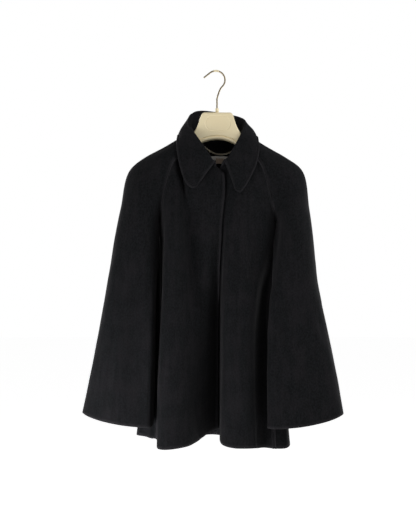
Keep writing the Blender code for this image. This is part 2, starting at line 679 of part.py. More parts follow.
def collar_rows():
    """Profile lines of the collar, each through all its sections: seam, stand, roll, fall, edge."""
    angles = collar_angles()
    at = [-section.angle for section in COLLAR]
    steps = [COLLAR_COLUMNS_BETWEEN] * (len(COLLAR) - 1)
    roll = along([section.roll for section in COLLAR], at, steps)
    edge = along([section.edge for section in COLLAR], at, steps)
    width = along([(section.half_roll, 0, 0) for section in COLLAR], at, steps)[:, 0]
    sections = []
    for i, angle in enumerate(angles):
        seam = neck_point(angle)
        out = unit(edge[i] - seam)
        out[2] = 0
        out = unit(out)
        down = np.array([0, 0, -1.0])
        inner = roll[i] - out * width[i] * 0.8 + down * width[i]
        outer = roll[i] + out * width[i] * 0.8 + down * width[i]
        stand = seam + (inner - seam) * 0.5
        lift = neck_normal(angle) * FALL_BULGE
        profile = [seam, stand, inner, roll[i], outer,
                   outer + (edge[i] - outer) * 0.35 + lift,
                   outer + (edge[i] - outer) * 0.7 + lift * 0.6, edge[i]]
        gaps = np.sqrt(np.linalg.norm(np.diff(profile, axis=0), axis=1))
        knots = np.concatenate([[0], np.cumsum(gaps)])
        sections.append(along(profile, knots, (1, 1, 1, 1, 2, 1, 2)))
    return np.array(sections).transpose(1, 0, 2), angles


collar_grid, angles = collar_rows()
collar_normals = unit(-grid_normals(collar_grid))
collar_normals[0] = [-neck_normal(angle) for angle in angles]
if np.dot(collar_normals[-1, len(angles) // 2], (0, 1, 0)) < 0:
    collar_normals[1:] *= -1
collar_grid[0, :, 2] += COLLAR_GAP - SEAM_GAP / 2
wall_mesh("collar", collar_grid, collar_normals, LEAF)

# ---------------------------------------------------------------- inside the back neck


def on_back(x, z, inward):
    """Point at x, z a distance inside the inner face of the back panel."""
    grid = middles["back"]
    heights, depths = [], []
    for row in grid[: ARM_ROW]:
        order = np.argsort(row[:, 0])
        heights.append(np.interp(x, row[order, 0], row[order, 2]))
        depths.append(np.interp(x, row[order, 0], row[order, 1]))
    y = np.interp(-z, -np.array(heights), depths)
    return np.array([x, y - CLOTH / 2 - inward, z])


# label, centre x, top z, bottom z, width, distance from the cloth or from the label behind it
Label = namedtuple("Label", "name x top bottom width inward")
LABELS = (
    Label("label_main", 4, -191, -204, 62, 1.2),
    Label("label_size", 8, -198, -216, 22, 2.2),
)
for label in LABELS:
    points = []
    for z in np.linspace(label.top, label.bottom, 3):
        for x in np.linspace(label.x - label.width / 2, label.x + label.width / 2, 9):
            points.append(on_back(x, z, label.inward))
    grid = np.array(points).reshape(3, 9, 3)
    # The label lies flat down its height and follows the neck across.
    grid[:, :, 1] = [[on_back(x, LABELS[0].top, label.inward)[1] for x in row[:, 0]]
                     for row in grid]
    wall_mesh(label.name, grid, np.broadcast_to((0.0, 1.0, 0.0), grid.shape), LABEL)

CHAIN_ENDS = ((-30, -175), (48, -180))
CHAIN_DIP = (7, -192.5)
CHAIN_RADIUS = 1.3
TAB = (6, 10, 1.0)  # width, height, thickness of the tab at each end of the chain


def chain_path():
    """Sag of the chain between its ends: a parabola through its lowest point."""
    (x0, z0), (x2, z2) = CHAIN_ENDS
    x1, z1 = CHAIN_DIP
    shape = np.polyfit((x0, x1, x2), (z0, z1, z2), 2)
    xs = np.linspace(x0 + 2, x2 - 2, 19)
    return np.array([(x, on_back(x, np.polyval(shape, x), 5.2)[1], np.polyval(shape, x))
                     for x in xs])


path = chain_path()
path[:, 1] = np.convolve(np.pad(path[:, 1], 2, mode="edge"), np.ones(5) / 5, mode="valid")
loft_mesh("hanging_chain", tube_rings(path, CHAIN_RADIUS, 8))
for side, (x, z) in zip(("right", "left"), CHAIN_ENDS):
    width, height, thick = TAB
    grid = np.array([[on_back(x + dx, z + dz, 1.8) for dx in (-width / 2, width / 2)]
                     for dz in (height * 0.7, height * 0.1, -height * 0.3)])
    wall_mesh("chain_tab_" + side, grid, np.broadcast_to((0.0, 1.0, 0.0), grid.shape), thick)

# ---------------------------------------------------------------- hanger

# Sections of the moulded hanger by distance from its middle: top, underside, half depth.
Slice = namedtuple("Slice", "x top bottom half_depth")
HANGER_SLICES = (
    Slice(0, -98.8, -163.5, 11), Slice(16, -98.8, -165, 11), Slice(31, -98.8, -169, 11),
    Slice(35.5, -100.2, -171, 11), Slice(38.5, -104.5, -172.5, 11), Slice(42, -117, -174, 11),
    Slice(46, -129, -176.5, 11), Slice(51, -139.5, -179.5, 11), Slice(58, -150, -184, 11),
    Slice(72, -160.5, -192, 11.5), Slice(100, -177, -208, 12.5), Slice(130, -194, -225, 14),
    Slice(158, -210, -241, 15), Slice(176, -222, -250, 14), Slice(187, -232, -254, 11),
    Slice(192, -239, -252, 6),
)
HANGER_X = 2  # the hanger's middle
HANGER_CORNER = 6
PLAQUE = (60, 34, 0.8)  # width, height, depth of the sunk bare plaque
PLAQUE_CENTRE = (3.5, -125.5)
HOOK_RADIUS = 1.9
HOOK_X = 1.2
HOLE_GAP = 0.35


def rounded_ring(x, top, bottom, half_depth):
    """Sixteen points round one slice: a rectangle with rounded corners."""
    middle, half_height = (top + bottom) / 2, (top - bottom) / 2
    corner = min(HANGER_CORNER, half_height * 0.8, half_depth * 0.8)
    ring = []
    for cy, cz, start in ((1, 1, 0), (-1, 1, 90), (-1, -1, 180), (1, -1, 270)):
        for turn in (0, 30, 60, 90):
            a = math.radians(start + turn)
            y = cy * (half_depth - corner) + corner * math.cos(a)
            z = middle + cz * (half_height - corner) + corner * math.sin(a)
            ring.append((x, y, z))
    return ring




def hanger_rings():
    """Slices from one arm's end to the other; only the middle piece is off centre."""
    both = [(-1, s) for s in HANGER_SLICES[:0:-1]] + [(1, s) for s in HANGER_SLICES]
    return [rounded_ring(side * s.x + HANGER_X * max(0, 1 - s.x / 100), s.top, s.bottom,
                         s.half_depth) for side, s in both]


rings = hanger_rings()
hanger = loft_mesh("hanger_body", rings)


def stadium(centre, width, height, y0, y1, turns=9):
    """Prism with round ends, cut into the hanger's front face."""
    rings = []
    radius = height / 2
    for y in (y0, y1):
        ring = []
        for side, start in ((1, -90), (-1, 90)):
            for a in np.radians(np.linspace(start, start + 180, turns)):
                ring.append((centre[0] + side * (width / 2 - radius) + radius * math.cos(a), y,
                             centre[1] + radius * math.sin(a)))
        rings.append(ring)
    return loft_mesh("cutter", rings)


face_y = -HANGER_SLICES[0].half_depth
cut(hanger, stadium(PLAQUE_CENTRE, PLAQUE[0], PLAQUE[1], face_y - 5, face_y + PLAQUE[2]))
hole = [(HOOK_X, 0, z) for z in (-90, -105, -118)]
cut(hanger, loft_mesh("cutter", tube_rings(hole, HOOK_RADIUS + HOLE_GAP, 12)))

# The wire hook: stem, slant out, arc over the rail, short tail.
HOOK_STEM = ((1.2, -117), (1.2, -98), (1.2, -78), (1.4, -64), (4.0, -55))
HOOK_ARC_CENTRE, HOOK_ARC_RADIUS = (-1.7, -20.1), 22
HOOK_ARC = (-46, 128)
HOOK_TAIL = 18


def hook_path():
    cx, cz = HOOK_ARC_CENTRE
    arc = [(cx + HOOK_ARC_RADIUS * math.cos(a), cz + HOOK_ARC_RADIUS * math.sin(a))
           for a in np.radians(np.linspace(*HOOK_ARC, 20))]
    end = math.radians(HOOK_ARC[1] + 90)
    tail = [(arc[-1][0] + HOOK_TAIL * s * math.cos(end), arc[-1][1] + HOOK_TAIL * s * math.sin(end))
            for s in (0.5, 1)]
    stem = list(HOOK_STEM)
    knots = stem + arc[:1]
    at = np.concatenate([[0], np.cumsum(np.linalg.norm(np.diff(knots, axis=0), axis=1))])
    slopes = tangents(np.array(knots, float), at)
    slopes[-1] = (math.cos(math.radians(HOOK_ARC[0] + 90)), math.sin(math.radians(HOOK_ARC[0] + 90)))
    bend = along(knots, at, (1, 1, 2, 2, 4), slopes)
    return [(x, 0.0, z) for x, z in list(bend) + arc[1:] + tail]


loft_mesh("hanger_hook", tube_rings(hook_path(), HOOK_RADIUS, 10))

# The ferrule: a short ring round the stem, standing on the hanger.
FERRULE = (4.2, -98.4, -88.2)  # outer radius, bottom, top
radius, low, high = FERRULE
ferrule = loft_mesh("hanger_ferrule", [
    [(HOOK_X + r * math.cos(a), r * math.sin(a), z)
     for a in np.linspace(0, 2 * math.pi, 16, endpoint=False)]
    for r, z in ((radius, low), (radius, high - 1), (radius - 0.8, high))])
bore = [(HOOK_X, 0, z) for z in (low - 5, -93, high + 5)]
cut(ferrule, loft_mesh("cutter", tube_rings(bore, HOOK_RADIUS + HOLE_GAP, 12)))

# ---------------------------------------------------------------- materials

WOOL = material("wool", (0.012, 0.012, 0.0135), 0.95)
PAINTS = {
    "label_main": material("woven_label", (0.5, 0.46, 0.4), 0.8),
    "label_size": material("woven_label_small", (0.4, 0.36, 0.31), 0.8),
    "hanging_chain": material("brass", (0.55, 0.45, 0.25), 0.35, 1.0),
    "chain_tab_right": material("tab_right", (0.02, 0.02, 0.022), 0.8),
    "chain_tab_left": material("tab_left", (0.02, 0.02, 0.022), 0.8),
    "hanger_body": material("ivory_plastic", (0.72, 0.63, 0.44), 0.35),
    "hanger_ferrule": material("ivory_ferrule", (0.72, 0.63, 0.44), 0.35),
    "hanger_hook": material("steel_wire", (0.6, 0.6, 0.6), 0.25, 1.0),
}
for obj in bpy.data.objects:
    obj.data.materials.clear()
    obj.data.materials.append(PAINTS.get(obj.name) or material(obj.name + "_wool",
                                                              (0.012, 0.012, 0.0135), 0.95))
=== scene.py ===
"""A black wool swing jacket on a moulded coat hanger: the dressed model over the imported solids.

Metres, +Z up, the front faces -Y. Tables of the cloth are in millimetres, as in the part's source.
"""

import math
from collections import namedtuple

import bmesh
import bpy
import numpy as np
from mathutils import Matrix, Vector


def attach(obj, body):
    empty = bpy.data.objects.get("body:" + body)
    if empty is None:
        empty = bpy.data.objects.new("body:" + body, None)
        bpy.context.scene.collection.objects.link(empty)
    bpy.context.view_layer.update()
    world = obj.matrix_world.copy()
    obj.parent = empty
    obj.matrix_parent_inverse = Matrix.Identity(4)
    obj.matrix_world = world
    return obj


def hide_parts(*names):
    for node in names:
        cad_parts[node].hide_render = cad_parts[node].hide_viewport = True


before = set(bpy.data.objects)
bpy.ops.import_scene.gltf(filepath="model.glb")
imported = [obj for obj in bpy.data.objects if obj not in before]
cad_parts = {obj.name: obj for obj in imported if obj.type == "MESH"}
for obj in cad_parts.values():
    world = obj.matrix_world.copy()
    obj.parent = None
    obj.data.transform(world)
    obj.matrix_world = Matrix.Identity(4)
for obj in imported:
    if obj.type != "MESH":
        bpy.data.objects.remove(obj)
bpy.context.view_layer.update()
MM = 0.001

# ---------------------------------------------------------------- studio
# A pale floor far below and a white room all round. The main lamp is broad and low at the front
# left, weaker ones stand at the right and two behind. The camera looks level at the middle.

CAMERA_AT = (-0.0204, -2.0, -0.452)
FOCAL_PX, FRAME_PX, SENSOR = 833.3, 520, 24.0
FLOOR_Z, FLOOR_HALF = -1.75, 12
WALL_LIGHT = 0.3

scene = bpy.context.scene
lens = bpy.data.cameras.new("camera")
lens.sensor_fit, lens.sensor_height = "VERTICAL", SENSOR
lens.lens = SENSOR * FOCAL_PX / FRAME_PX
camera = bpy.data.objects.new("camera", lens)
camera.location = CAMERA_AT
camera.rotation_euler = (math.pi / 2, 0, 0)
scene.collection.objects.link(camera)
scene.camera = camera
scene.view_settings.view_transform = "Standard"


def srgb(text):
    """A colour written #rrggbb as linear red, green, blue, alpha."""
    parts = [int(text[i: i + 2], 16) / 255 for i in (1, 3, 5)]
    return (*[c / 12.92 if c <= 0.04045 else ((c + 0.055) / 1.055) ** 2.4 for c in parts], 1.0)


def node(tree, kind, links=(), **settings):
    """Adds a node; settings are its properties or sockets, links are (socket, from socket)."""
    made = tree.nodes.new(kind)
    for key, value in settings.items():
        if hasattr(made, key):
            setattr(made, key, value)
        else:
            made.inputs[key.replace("_", " ")].default_value = value
    for key, source in links:
        tree.links.new(source, made.inputs[key])
    return made


def new_material(name, **settings):
    """A Principled material; settings are its sockets, with _ for a space."""
    made = bpy.data.materials.new(name)
    made.use_nodes = True
    shader = made.node_tree.nodes["Principled BSDF"]
    for key, value in settings.items():
        shader.inputs[key.replace("_", " ")].default_value = value
    return made, made.node_tree, shader


room = bpy.data.worlds.new("white_room")
room.use_nodes = True
# The walls look white but throw little light, so that the lamps shape the folds.
walls, seen = room.node_tree.nodes["Background"], node(room.node_tree, "ShaderNodeLightPath")
glow = node(room.node_tree, "ShaderNodeMapRange", [("Value", seen.outputs["Is Camera Ray"])],
            To_Min=WALL_LIGHT, To_Max=1.0)
walls.inputs["Color"].default_value = srgb("#ffffff")
room.node_tree.links.new(glow.outputs[0], walls.inputs["Strength"])
scene.world = room

# light: name, place, aimed at, width, height, watts, spread of its beam in degrees
Light = namedtuple("Light", "name place aim width height watts spread", defaults=(180,))
LIGHTS = (
    Light("left_low", (-1.0, -1.0, -1.3), (-0.05, 0, -0.62), 0.9, 1.0, 17),
    Light("left_beam", (-0.95, -1.0, -1.25), (-0.30, 0, -0.84), 0.3, 0.3, 0.45, 30),
    Light("right_side", (2.1, -0.4, 0.7), (0, 0, -0.5), 1.2, 1.6, 26),
    Light("right_high", (1.4, -1.6, 0.8), (0, 0, -0.4), 1.2, 1.6, 9),
    Light("back_left", (-1.8, 2.0, 0.3), (0, 0, -0.5), 1.2, 1.6, 40),
    Light("back_right", (1.8, 2.0, -0.9), (0, 0, -0.5), 1.2, 1.6, 40),
)
for light in LIGHTS:
    data = bpy.data.lights.new(light.name, "AREA")
    data.shape, data.size, data.size_y = "RECTANGLE", light.width, light.height
    data.energy, data.spread = light.watts, math.radians(light.spread)
    lamp = bpy.data.objects.new(light.name, data)
    lamp.location = light.place
    lamp.rotation_euler = (Vector(light.aim) - lamp.location).to_track_quat("-Z", "Y").to_euler()
    scene.collection.objects.link(lamp)

# Painted studio floor, matt and nearly white.
floor_paint, _, _ = new_material("studio_floor_paint", Base_Color=srgb("#fafafa"), Roughness=0.95,
                                 Emission_Color=srgb("#ffffff"), Emission_Strength=0.7)
floor_mesh = bpy.data.meshes.new("studio_floor")
floor_corners = [(x * FLOOR_HALF, y * FLOOR_HALF, FLOOR_Z)
                 for x, y in ((-1, -1), (1, -1), (1, 1), (-1, 1))]
floor_mesh.from_pydata(floor_corners, [], [(0, 1, 2, 3)])
floor_mesh.materials.append(floor_paint)
studio_floor = bpy.data.objects.new("studio_floor", floor_mesh)
studio_floor.visible_diffuse = False
scene.collection.objects.link(studio_floor)

# ---------------------------------------------------------------- wool
# Black melton: wool woven, milled and brushed until the weave is under a short nap. It swallows
# light face on and shows a grey bloom where the eye grazes it.

wool, tree, shader = new_material(
    "black_wool_melton", Roughness=0.95, IOR=1.45, Specular_IOR_Level=0.05,
    Sheen_Weight=0.06, Sheen_Roughness=0.5, Sheen_Tint=srgb("#c8c4c8"))
place = node(tree, "ShaderNodeTexCoord")
# Fibres lie down the cloth, so the nap's clumps are longer than wide: 3.4 mm, drawn coarse.
lie = node(tree, "ShaderNodeMapping", [("Vector", place.outputs["Object"])], Scale=(1, 1, 0.75))
clumps = node(tree, "ShaderNodeTexNoise", [("Vector", lie.outputs[0])],
              Scale=1 / 0.0034, Detail=3.0, Roughness=0.7)
fibres = node(tree, "ShaderNodeTexNoise", [("Vector", lie.outputs[0])],
              Scale=1 / 0.0012, Detail=2.0, Roughness=0.7)
patches = node(tree, "ShaderNodeTexNoise", [("Vector", place.outputs["Object"])],
               Scale=1 / 0.045, Detail=2.0, Roughness=0.5)
tone = node(tree, "ShaderNodeValToRGB", [("Fac", clumps.outputs["Fac"])])
tone.color_ramp.elements[0].position, tone.color_ramp.elements[1].position = 0.36, 0.66
tone.color_ramp.elements[0].color = srgb("#0e0f10")
tone.color_ramp.elements[1].color = srgb("#1b1c1e")
# Patches and long streaks where the nap is rubbed up catch more light, warmer than the black.
fall = node(tree, "ShaderNodeMapping", [("Vector", place.outputs["Object"])], Scale=(1, 1, 0.14))
streaks = node(tree, "ShaderNodeTexNoise", [("Vector", fall.outputs[0])],
               Scale=1 / 0.011, Detail=2.0, Roughness=0.5)
both = node(tree, "ShaderNodeMath", [(0, patches.outputs["Fac"]), (1, streaks.outputs["Fac"])],
            operation="ADD")
rubbed = node(tree, "ShaderNodeMapRange", [("Value", both.outputs[0])],
              From_Min=0.9, From_Max=1.25, To_Max=0.3)
worn = node(tree, "ShaderNodeMix", [("Factor", rubbed.outputs[0]), ("A", tone.outputs["Color"])],
            data_type="RGBA")
worn.inputs["B"].default_value = srgb("#262326")
# Painted highlight along seams, edges and hems: a lighter grey for the light that the ridges catch.
# The painted highlight's strength comes from the point attribute pressed.
painted_highlight_mask = node(tree, "ShaderNodeAttribute")
painted_highlight_mask.attribute_name = "pressed"
painted_highlight = node(tree, "ShaderNodeMix", [("Factor", painted_highlight_mask.outputs["Fac"]),
                                        ("A", worn.outputs["Result"])], data_type="RGBA")
painted_highlight.inputs["B"].default_value = srgb("#39373a")
tree.links.new(painted_highlight.outputs["Result"], shader.inputs["Base Color"])
nap = node(tree, "ShaderNodeBump", [("Height", clumps.outputs["Fac"])],
           Strength=0.5, Distance=0.0006)
fuzz = node(tree, "ShaderNodeBump", [("Height", fibres.outputs["Fac"]), ("Normal", nap.outputs[0])],
            Strength=0.35, Distance=0.0003)
tree.links.new(fuzz.outputs[0], shader.inputs["Normal"])

# ---------------------------------------------------------------- the seven panels
# Two fronts, a back and two pieces to each raglan sleeve, cut from one layer of heavy wool and
# hung from the shoulders. Fold lines run down each piece and stations cross it.

CLOTH = 2.4  # wall of the wool, mm
STATIONS = ("neck", "collar", "yoke", "tip", "arm", "waist", "hip", "hem")
STATION_AT = (0, 40, 85, 130, 210, 395, 590, 740)
CAD_ROWS = (1, 2, 2, 3, 4, 4, 4)  # rows of the solids between stations
FINE_ROWS = (6, 7, 7, 13, 24, 24, 19)
ARM_ROW = sum(FINE_ROWS[:4])
Line = namedtuple("Line", ("name",) + STATIONS)
Across = namedtuple("Across", ("name",) + STATIONS)

# Whole seams, shared by the two pieces they join: the neckline's angle, then x, y, z.
RAGLAN_FRONT_RIGHT = Line(
    "raglan_front_right",
    -58, (-94, -41, -208), (-112, -42, -245), (-124, -42, -290),
    (-137, -3, -364), (-138, 10, -545), (-140, 16, -740), (-143, 22, -887))
RAGLAN_BACK_RIGHT = Line(
    "raglan_back_right",
    -140, (-88, 42, -190), (-110, 44, -232), (-124, 43, -282),
    (-137, -3, -364), (-138, 10, -545), (-140, 16, -740), (-143, 22, -887))
RAGLAN_FRONT_LEFT = Line(
    "raglan_front_left",
    -302, (97, -38, -215), (114, -40, -250), (126, -38, -295),
    (140, -3, -366), (124, 4, -545), (132, 2, -740), (139, -5, -903))
RAGLAN_BACK_LEFT = Line(
    "raglan_back_left",
    -220, (88, 42, -190), (110, 44, -232), (125, 42, -284),
    (140, -3, -366), (124, 4, -545), (132, 2, -740), (139, -5, -903))
UNDERARM_RIGHT = Line(
    "underarm_right",
    None, None, None, None,
    (-137, -3, -364), (-146, 2, -545), (-149, 6, -715), (-153, 6, -846))
UNDERARM_LEFT = Line(
    "underarm_left",
    None, None, None, None,
    (140, -3, -366), (131, -26, -545), (123, -38, -715), (122, -44, -844))
OVERARM_RIGHT = Line(
    "overarm_right",
    -90, (-118, 0, -178.5), (-170, 0, -206.5), (-206, 0, -236),
    (-229, 0, -330), (-262, 0, -515), (-294, 0, -690), (-320, 0, -816))
OVERARM_LEFT = Line(
    "overarm_left",
    -270, (116, 0, -178.5), (166, 0, -207.5), (203, 0, -236),
    (221.5, 0, -330), (243, 0, -515), (280, 0, -690), (303, 0, -819))

# Fold lines of the fronts: the neckline's angle above them, then x, y at each station,
# or x, y, z where the cloth has its own height.
FRONT_RIGHT = (
    Line("edge", (17, -57, -250), (19, -54, -266), (19, -52, -293), (16, -50, -322),
         (12.5, -45, -362), (9, -9, -545), (6, 30, -740), (4, 36, -866)),
    Line("placket", -3, (1, -54), (1, -54), (-1, -52),
         (-4, -48), (-9, -19), (-14, 20), (-16, 28, -872)),
    Line("valley", -11, (-14, -54), (-17, -54), (-18, -52),
         (-21, -48), (-27, -29), (-33, -2), (-34, 8, -879)),
    Line("trough", -19, (-30, -53), (-37, -51), (-44, -46),
         (-46, -43), (-49, -41), (-50, -28), (-49, -19, -885)),
    Line("face", -27, (-46, -51), (-55, -49), (-63, -47),
         (-68, -50), (-71, -56), (-70, -53), (-67, -47, -888)),
    Line("bulge", -35, (-60, -48), (-74, -50), (-82, -55),
         (-88, -63), (-92, -68), (-96, -72), (-96, -71, -889)),
    Line("crest_front", -42, (-73, -46), (-91, -48), (-102, -54),
         (-107, -63), (-114, -70), (-120, -75), (-123, -75, -890)),
    Line("crest", -48, (-82, -44), (-101, -46), (-113, -51),
         (-117, -55), (-125, -62), (-134, -67), (-135, -66, -890)),
    Line("crest_back", -53, (-89, -42), (-107, -44), (-119, -48),
         (-123, -41), (-129, -44), (-138, -47), (-139, -45, -889)),
    Line("side", -56, (-92, -41), (-110, -43), (-122, -45),
         (-129, -25), (-133, -16), (-139, -15), (-141, -12, -888)),
)
FRONT_LEFT = (
    Line("under_edge", (-8, -47, -246), (-10, -47, -266), (-10, -46, -293), (-12, -44, -322),
         (-14, -41, -362), (-20, -16, -545), (-21, 28, -740), (-22, 38, -872)),
    Line("under_mid", (4, -48, -242), (4, -48), (4, -47), (2, -45),
         (0, -40), (-5, -8), (-6, 36), (-8, 44, -870)),
    Line("emerge", -346.5, (20, -48), (21, -46), (18, -44),
         (15, -39), (11, -1), (9, 38), (8, 45, -868)),
    Line("rise", -340, (31, -50), (34, -51), (31, -50),
         (26, -49), (14, -34), (10, -20), (9, -6, -885)),
    Line("slope", -333, (42, -51), (50, -54), (49, -55),
         (42, -57), (24, -53), (19, -45), (19, -35, -890)),
    Line("face", -325, (55, -50), (66, -53), (70, -55),
         (65, -58), (48, -59), (42, -58), (42, -51, -892)),
    Line("bulge", -318, (68, -47), (84, -49), (91, -50),
         (90, -52), (74, -56), (66, -59), (65, -55, -892)),
    Line("crest_front", -312, (78, -45), (96, -47), (107, -46),
         (109, -44), (82, -51), (76, -55), (78, -54, -892)),
    Line("crest", -307, (86, -42), (104, -44), (116, -43),
         (120, -38), (91, -43), (84, -47), (90, -47, -893)),
    Line("crest_back", -304, (91, -40), (109, -42), (121, -41),
         (126, -33), (98, -28), (91, -28), (98, -28, -897)),
    Line("side", -303, (94, -39), (112, -41), (124, -40),
         (133, -22), (107, -9), (106, -9), (114, -8, -900)),
)

# Fold lines of the back, from its left seam to its right one in the front view.
BACK = (
    Line("hollow_right", -146, (-78, 46), (-98, 49), (-113, 50),
         (-128, 36), (-148, 34), (-158, 36), (-168, 42, -885)),
    Line("wing_right", -152, (-67, 49), (-85, 54), (-99, 57),
         (-118, 52), (-158, 50), (-178, 56), (-197, 62, -884)),
    Line("wing_back_right", -158, (-55, 51), (-70, 57), (-82, 61),
         (-101, 63), (-147, 66), (-168, 76), (-186, 84, -884)),
    Line("trough_1", -165, (-42, 52), (-54, 58), (-64, 61),
         (-78, 63), (-112, 62), (-130, 64), (-144, 66, -886)),
    Line("flute_1", -172, (-28, 53), (-36, 59), (-44, 63),
         (-54, 67), (-80, 76), (-94, 88), (-106, 98, -889)),
    Line("trough_2", -178, (-14, 54), (-20, 59), (-24, 62),
         (-30, 65), (-44, 67), (-54, 68), (-62, 69, -889)),
    Line("flute_2", -184, (2, 54), (0, 60), (-2, 64),
         (-4, 68), (-4, 79), (-8, 91), (-12, 101, -891)),
    Line("trough_3", -190, (16, 54), (18, 59), (20, 62),
         (24, 65), (33, 66), (37, 68), (42, 71, -889)),
    Line("flute_3", -196, (30, 53), (36, 59), (42, 63),
         (52, 67), (72, 75), (85, 85), (94, 95, -890)),
    Line("trough_4", -202, (44, 52), (54, 58), (62, 61),
         (76, 62), (102, 62), (118, 64), (128, 68, -889)),
    Line("wing_back_left", -208, (56, 51), (70, 56), (82, 60),
         (99, 60), (134, 62), (150, 67), (162, 74, -890)),
    Line("wing_left", -213, (68, 49), (86, 53), (100, 55),
         (120, 48), (150, 44), (165, 39), (179, 36, -900)),
    Line("hollow_left", -217, (79, 46), (99, 48), (114, 48),
         (128, 26), (144, 22), (156, 13), (168, 5, -904)),
)

# Fold lines of the sleeves: share of the way from the inner seam to the overarm seam, and y.
SLEEVE_FRONT_RIGHT = (
    Across("inner_turn", -62, (.12, -40), (.10, -43), (.10, -46),
           (.06, -36), (.025, -36), (.025, -34), (.025, -32)),
    Across("inner_slope", -67, (.3, -37), (.3, -41), (.28, -46),
           (.18, -49), (.13, -46), (.13, -45), (.13, -44)),
    Across("chest", -73, (.5, -31), (.5, -36), (.5, -43),
           (.42, -53), (.38, -51), (.37, -50), (.38, -52)),
    Across("outer_slope", -79, (.7, -23), (.7, -28), (.72, -35),
           (.68, -46), (.64, -50), (.64, -53), (.65, -50)),
    Across("outer_front", -84, (.87, -12), (.87, -17), (.88, -21),
           (.9, -27), (.89, -33), (.89, -34), (.89, -36)),
    Across("outer_turn", -87, (.96, -6), (.96, -8), (.965, -10),
           (.975, -13), (.98, -15), (.98, -15), (.98, -16)),
)
SLEEVE_BACK_RIGHT = (
    Across("inner_turn", -134, (.12, 40), (.10, 45), (.10, 45),
           (.13, 22), (.03, 17), (.03, 18), (.03, 18)),
    Across("inner_slope", -125, (.3, 36), (.3, 42), (.28, 45),
           (.18, 38), (.15, 29), (.15, 30), (.15, 31)),
    Across("mid_trough", -116, (.5, 29), (.5, 36), (.5, 42),
           (.42, 46), (.38, 36), (.37, 33), (.38, 31)),
    Across("outer_flute", -107, (.7, 21), (.7, 28), (.72, 34),
           (.68, 42), (.64, 42), (.62, 44), (.62, 46)),
    Across("outer_front", -98, (.87, 12), (.87, 17), (.88, 21),
           (.9, 25), (.89, 29), (.89, 31), (.89, 32)),
    Across("outer_turn", -94, (.96, 6), (.96, 8), (.965, 10),
           (.975, 12), (.98, 14), (.98, 14), (.98, 15)),
)
SLEEVE_FRONT_LEFT = (
    Across("inner_edge", -298, (.12, -37), (.10, -41), (.10, -43),
           (.12, -28), (-.04, -47), (-.02, -56), (-.01, -58)),
    Across("inner_slope", -293, (.3, -34), (.3, -39), (.28, -44),
           (.21, -48), (.06, -61), (.07, -67), (.07, -69)),
    Across("chest", -287, (.5, -29), (.5, -35), (.5, -41),
           (.40, -57), (.33, -67), (.33, -71), (.34, -73)),
    Across("outer_slope", -281, (.7, -22), (.7, -27), (.72, -34),
           (.68, -50), (.66, -58), (.65, -61), (.66, -62)),
    Across("outer_front", -276, (.87, -12), (.87, -17), (.88, -21),
           (.9, -30), (.89, -36), (.89, -39), (.89, -40)),
    Across("outer_turn", -273, (.96, -6), (.96, -8), (.965, -10),
           (.975, -14), (.98, -16), (.98, -17), (.98, -18)),
)
SLEEVE_BACK_LEFT = (
    Across("inner_turn", -226, (.12, 40), (.10, 45), (.10, 44),
           (.11, 20), (.03, -12), (.04, -26), (.05, -32)),
    Across("inner_slope", -235, (.3, 36), (.3, 42), (.28, 44),
           (.18, 34), (.17, 6), (.19, -8), (.2, -16)),
    Across("mid_flute", -244, (.5, 29), (.5, 36), (.5, 41),
           (.42, 42), (.40, 27), (.41, 16), (.42, 8)),
    Across("outer_flute", -253, (.7, 21), (.7, 28), (.72, 33),
           (.68, 40), (.64, 38), (.63, 34), (.63, 32)),
    Across("outer_front", -262, (.87, 12), (.87, 17), (.88, 21),
           (.9, 24), (.89, 27), (.89, 28), (.89, 27)),
    Across("outer_turn", -266, (.96, 6), (.96, 8), (.965, 10),
           (.975, 12), (.98, 13), (.98, 13), (.98, 13)),
)
CUFF_SAG = 5  # how far the cuff's middle hangs under the line between its seams
# Share of the back's sideways move, from the row above the underarm down.
UNDERARM_EASE = (0, 0, 1, 0.9, 0.5, 0)

NECK_HALF_WIDTH = 66
NECK_FRONT_REACH = 52
NECK_BACK_REACH = 48
NECK_SIDE_Z = -147
NECK_FRONT_DROP = 86
NECK_BACK_DROP = 12
NECK_ROUND = 1.2  # over 1 narrows the neckline's ellipse towards its front and back


def hermite(points, at, slopes, where):
    """The cubic curve through `points`, knots at `at`, read at each of `where`."""
    i = np.clip(np.searchsorted(at, where, side="right") - 1, 0, len(at) - 2)
    gap = (at[i + 1] - at[i])[:, None]
    t = ((where - at[i]) / (at[i + 1] - at[i]))[:, None]
    return ((2 * t**3 - 3 * t**2 + 1) * points[i] + (t**3 - 2 * t**2 + t) * gap * slopes[i]
            + (3 * t**2 - 2 * t**3) * points[i + 1] + (t**3 - t**2) * gap * slopes[i + 1])


def tangents(points, at):
    """Slope of a smooth curve at each of its points, weighted by the gaps on either side."""
    gaps = np.diff(at)
    slopes = np.diff(points, axis=0) / gaps[:, None]
    out = np.empty_like(points)
    before, after = gaps[:-1, None], gaps[1:, None]
    out[1:-1] = (slopes[:-1] * after + slopes[1:] * before) / (before + after)
    out[0], out[-1] = slopes[0], slopes[-1]
    return out


def unit(vectors):
    return vectors / np.maximum(np.linalg.norm(vectors, axis=-1, keepdims=True), 1e-12)


def stepped(at, counts):
    """Places along a curve, with counts[i] even steps in its i-th span."""
    spans = [np.linspace(a, b, n, endpoint=False) for a, b, n in zip(at[:-1], at[1:], counts)]
    return np.concatenate(spans + [[at[-1]]])


ROW_PLACES = stepped(STATION_AT, FINE_ROWS)
# The same rows counted in the solids' own rows, for the back's move under the arm.
CAD_ROW = np.interp(ROW_PLACES, STATION_AT, np.concatenate([[0], np.cumsum(CAD_ROWS)]))
ROWS = len(ROW_PLACES)


def rows_of(stations, first=0):
    """A fold line's points, one to a row, from its stations (from the first one given)."""
    at = np.array(STATION_AT[first:], float)
    points = np.array(stations, float)
    where = ROW_PLACES[ROW_PLACES >= at[0] - 1e-9]
    return hermite(points, at, tangents(points, at), where)


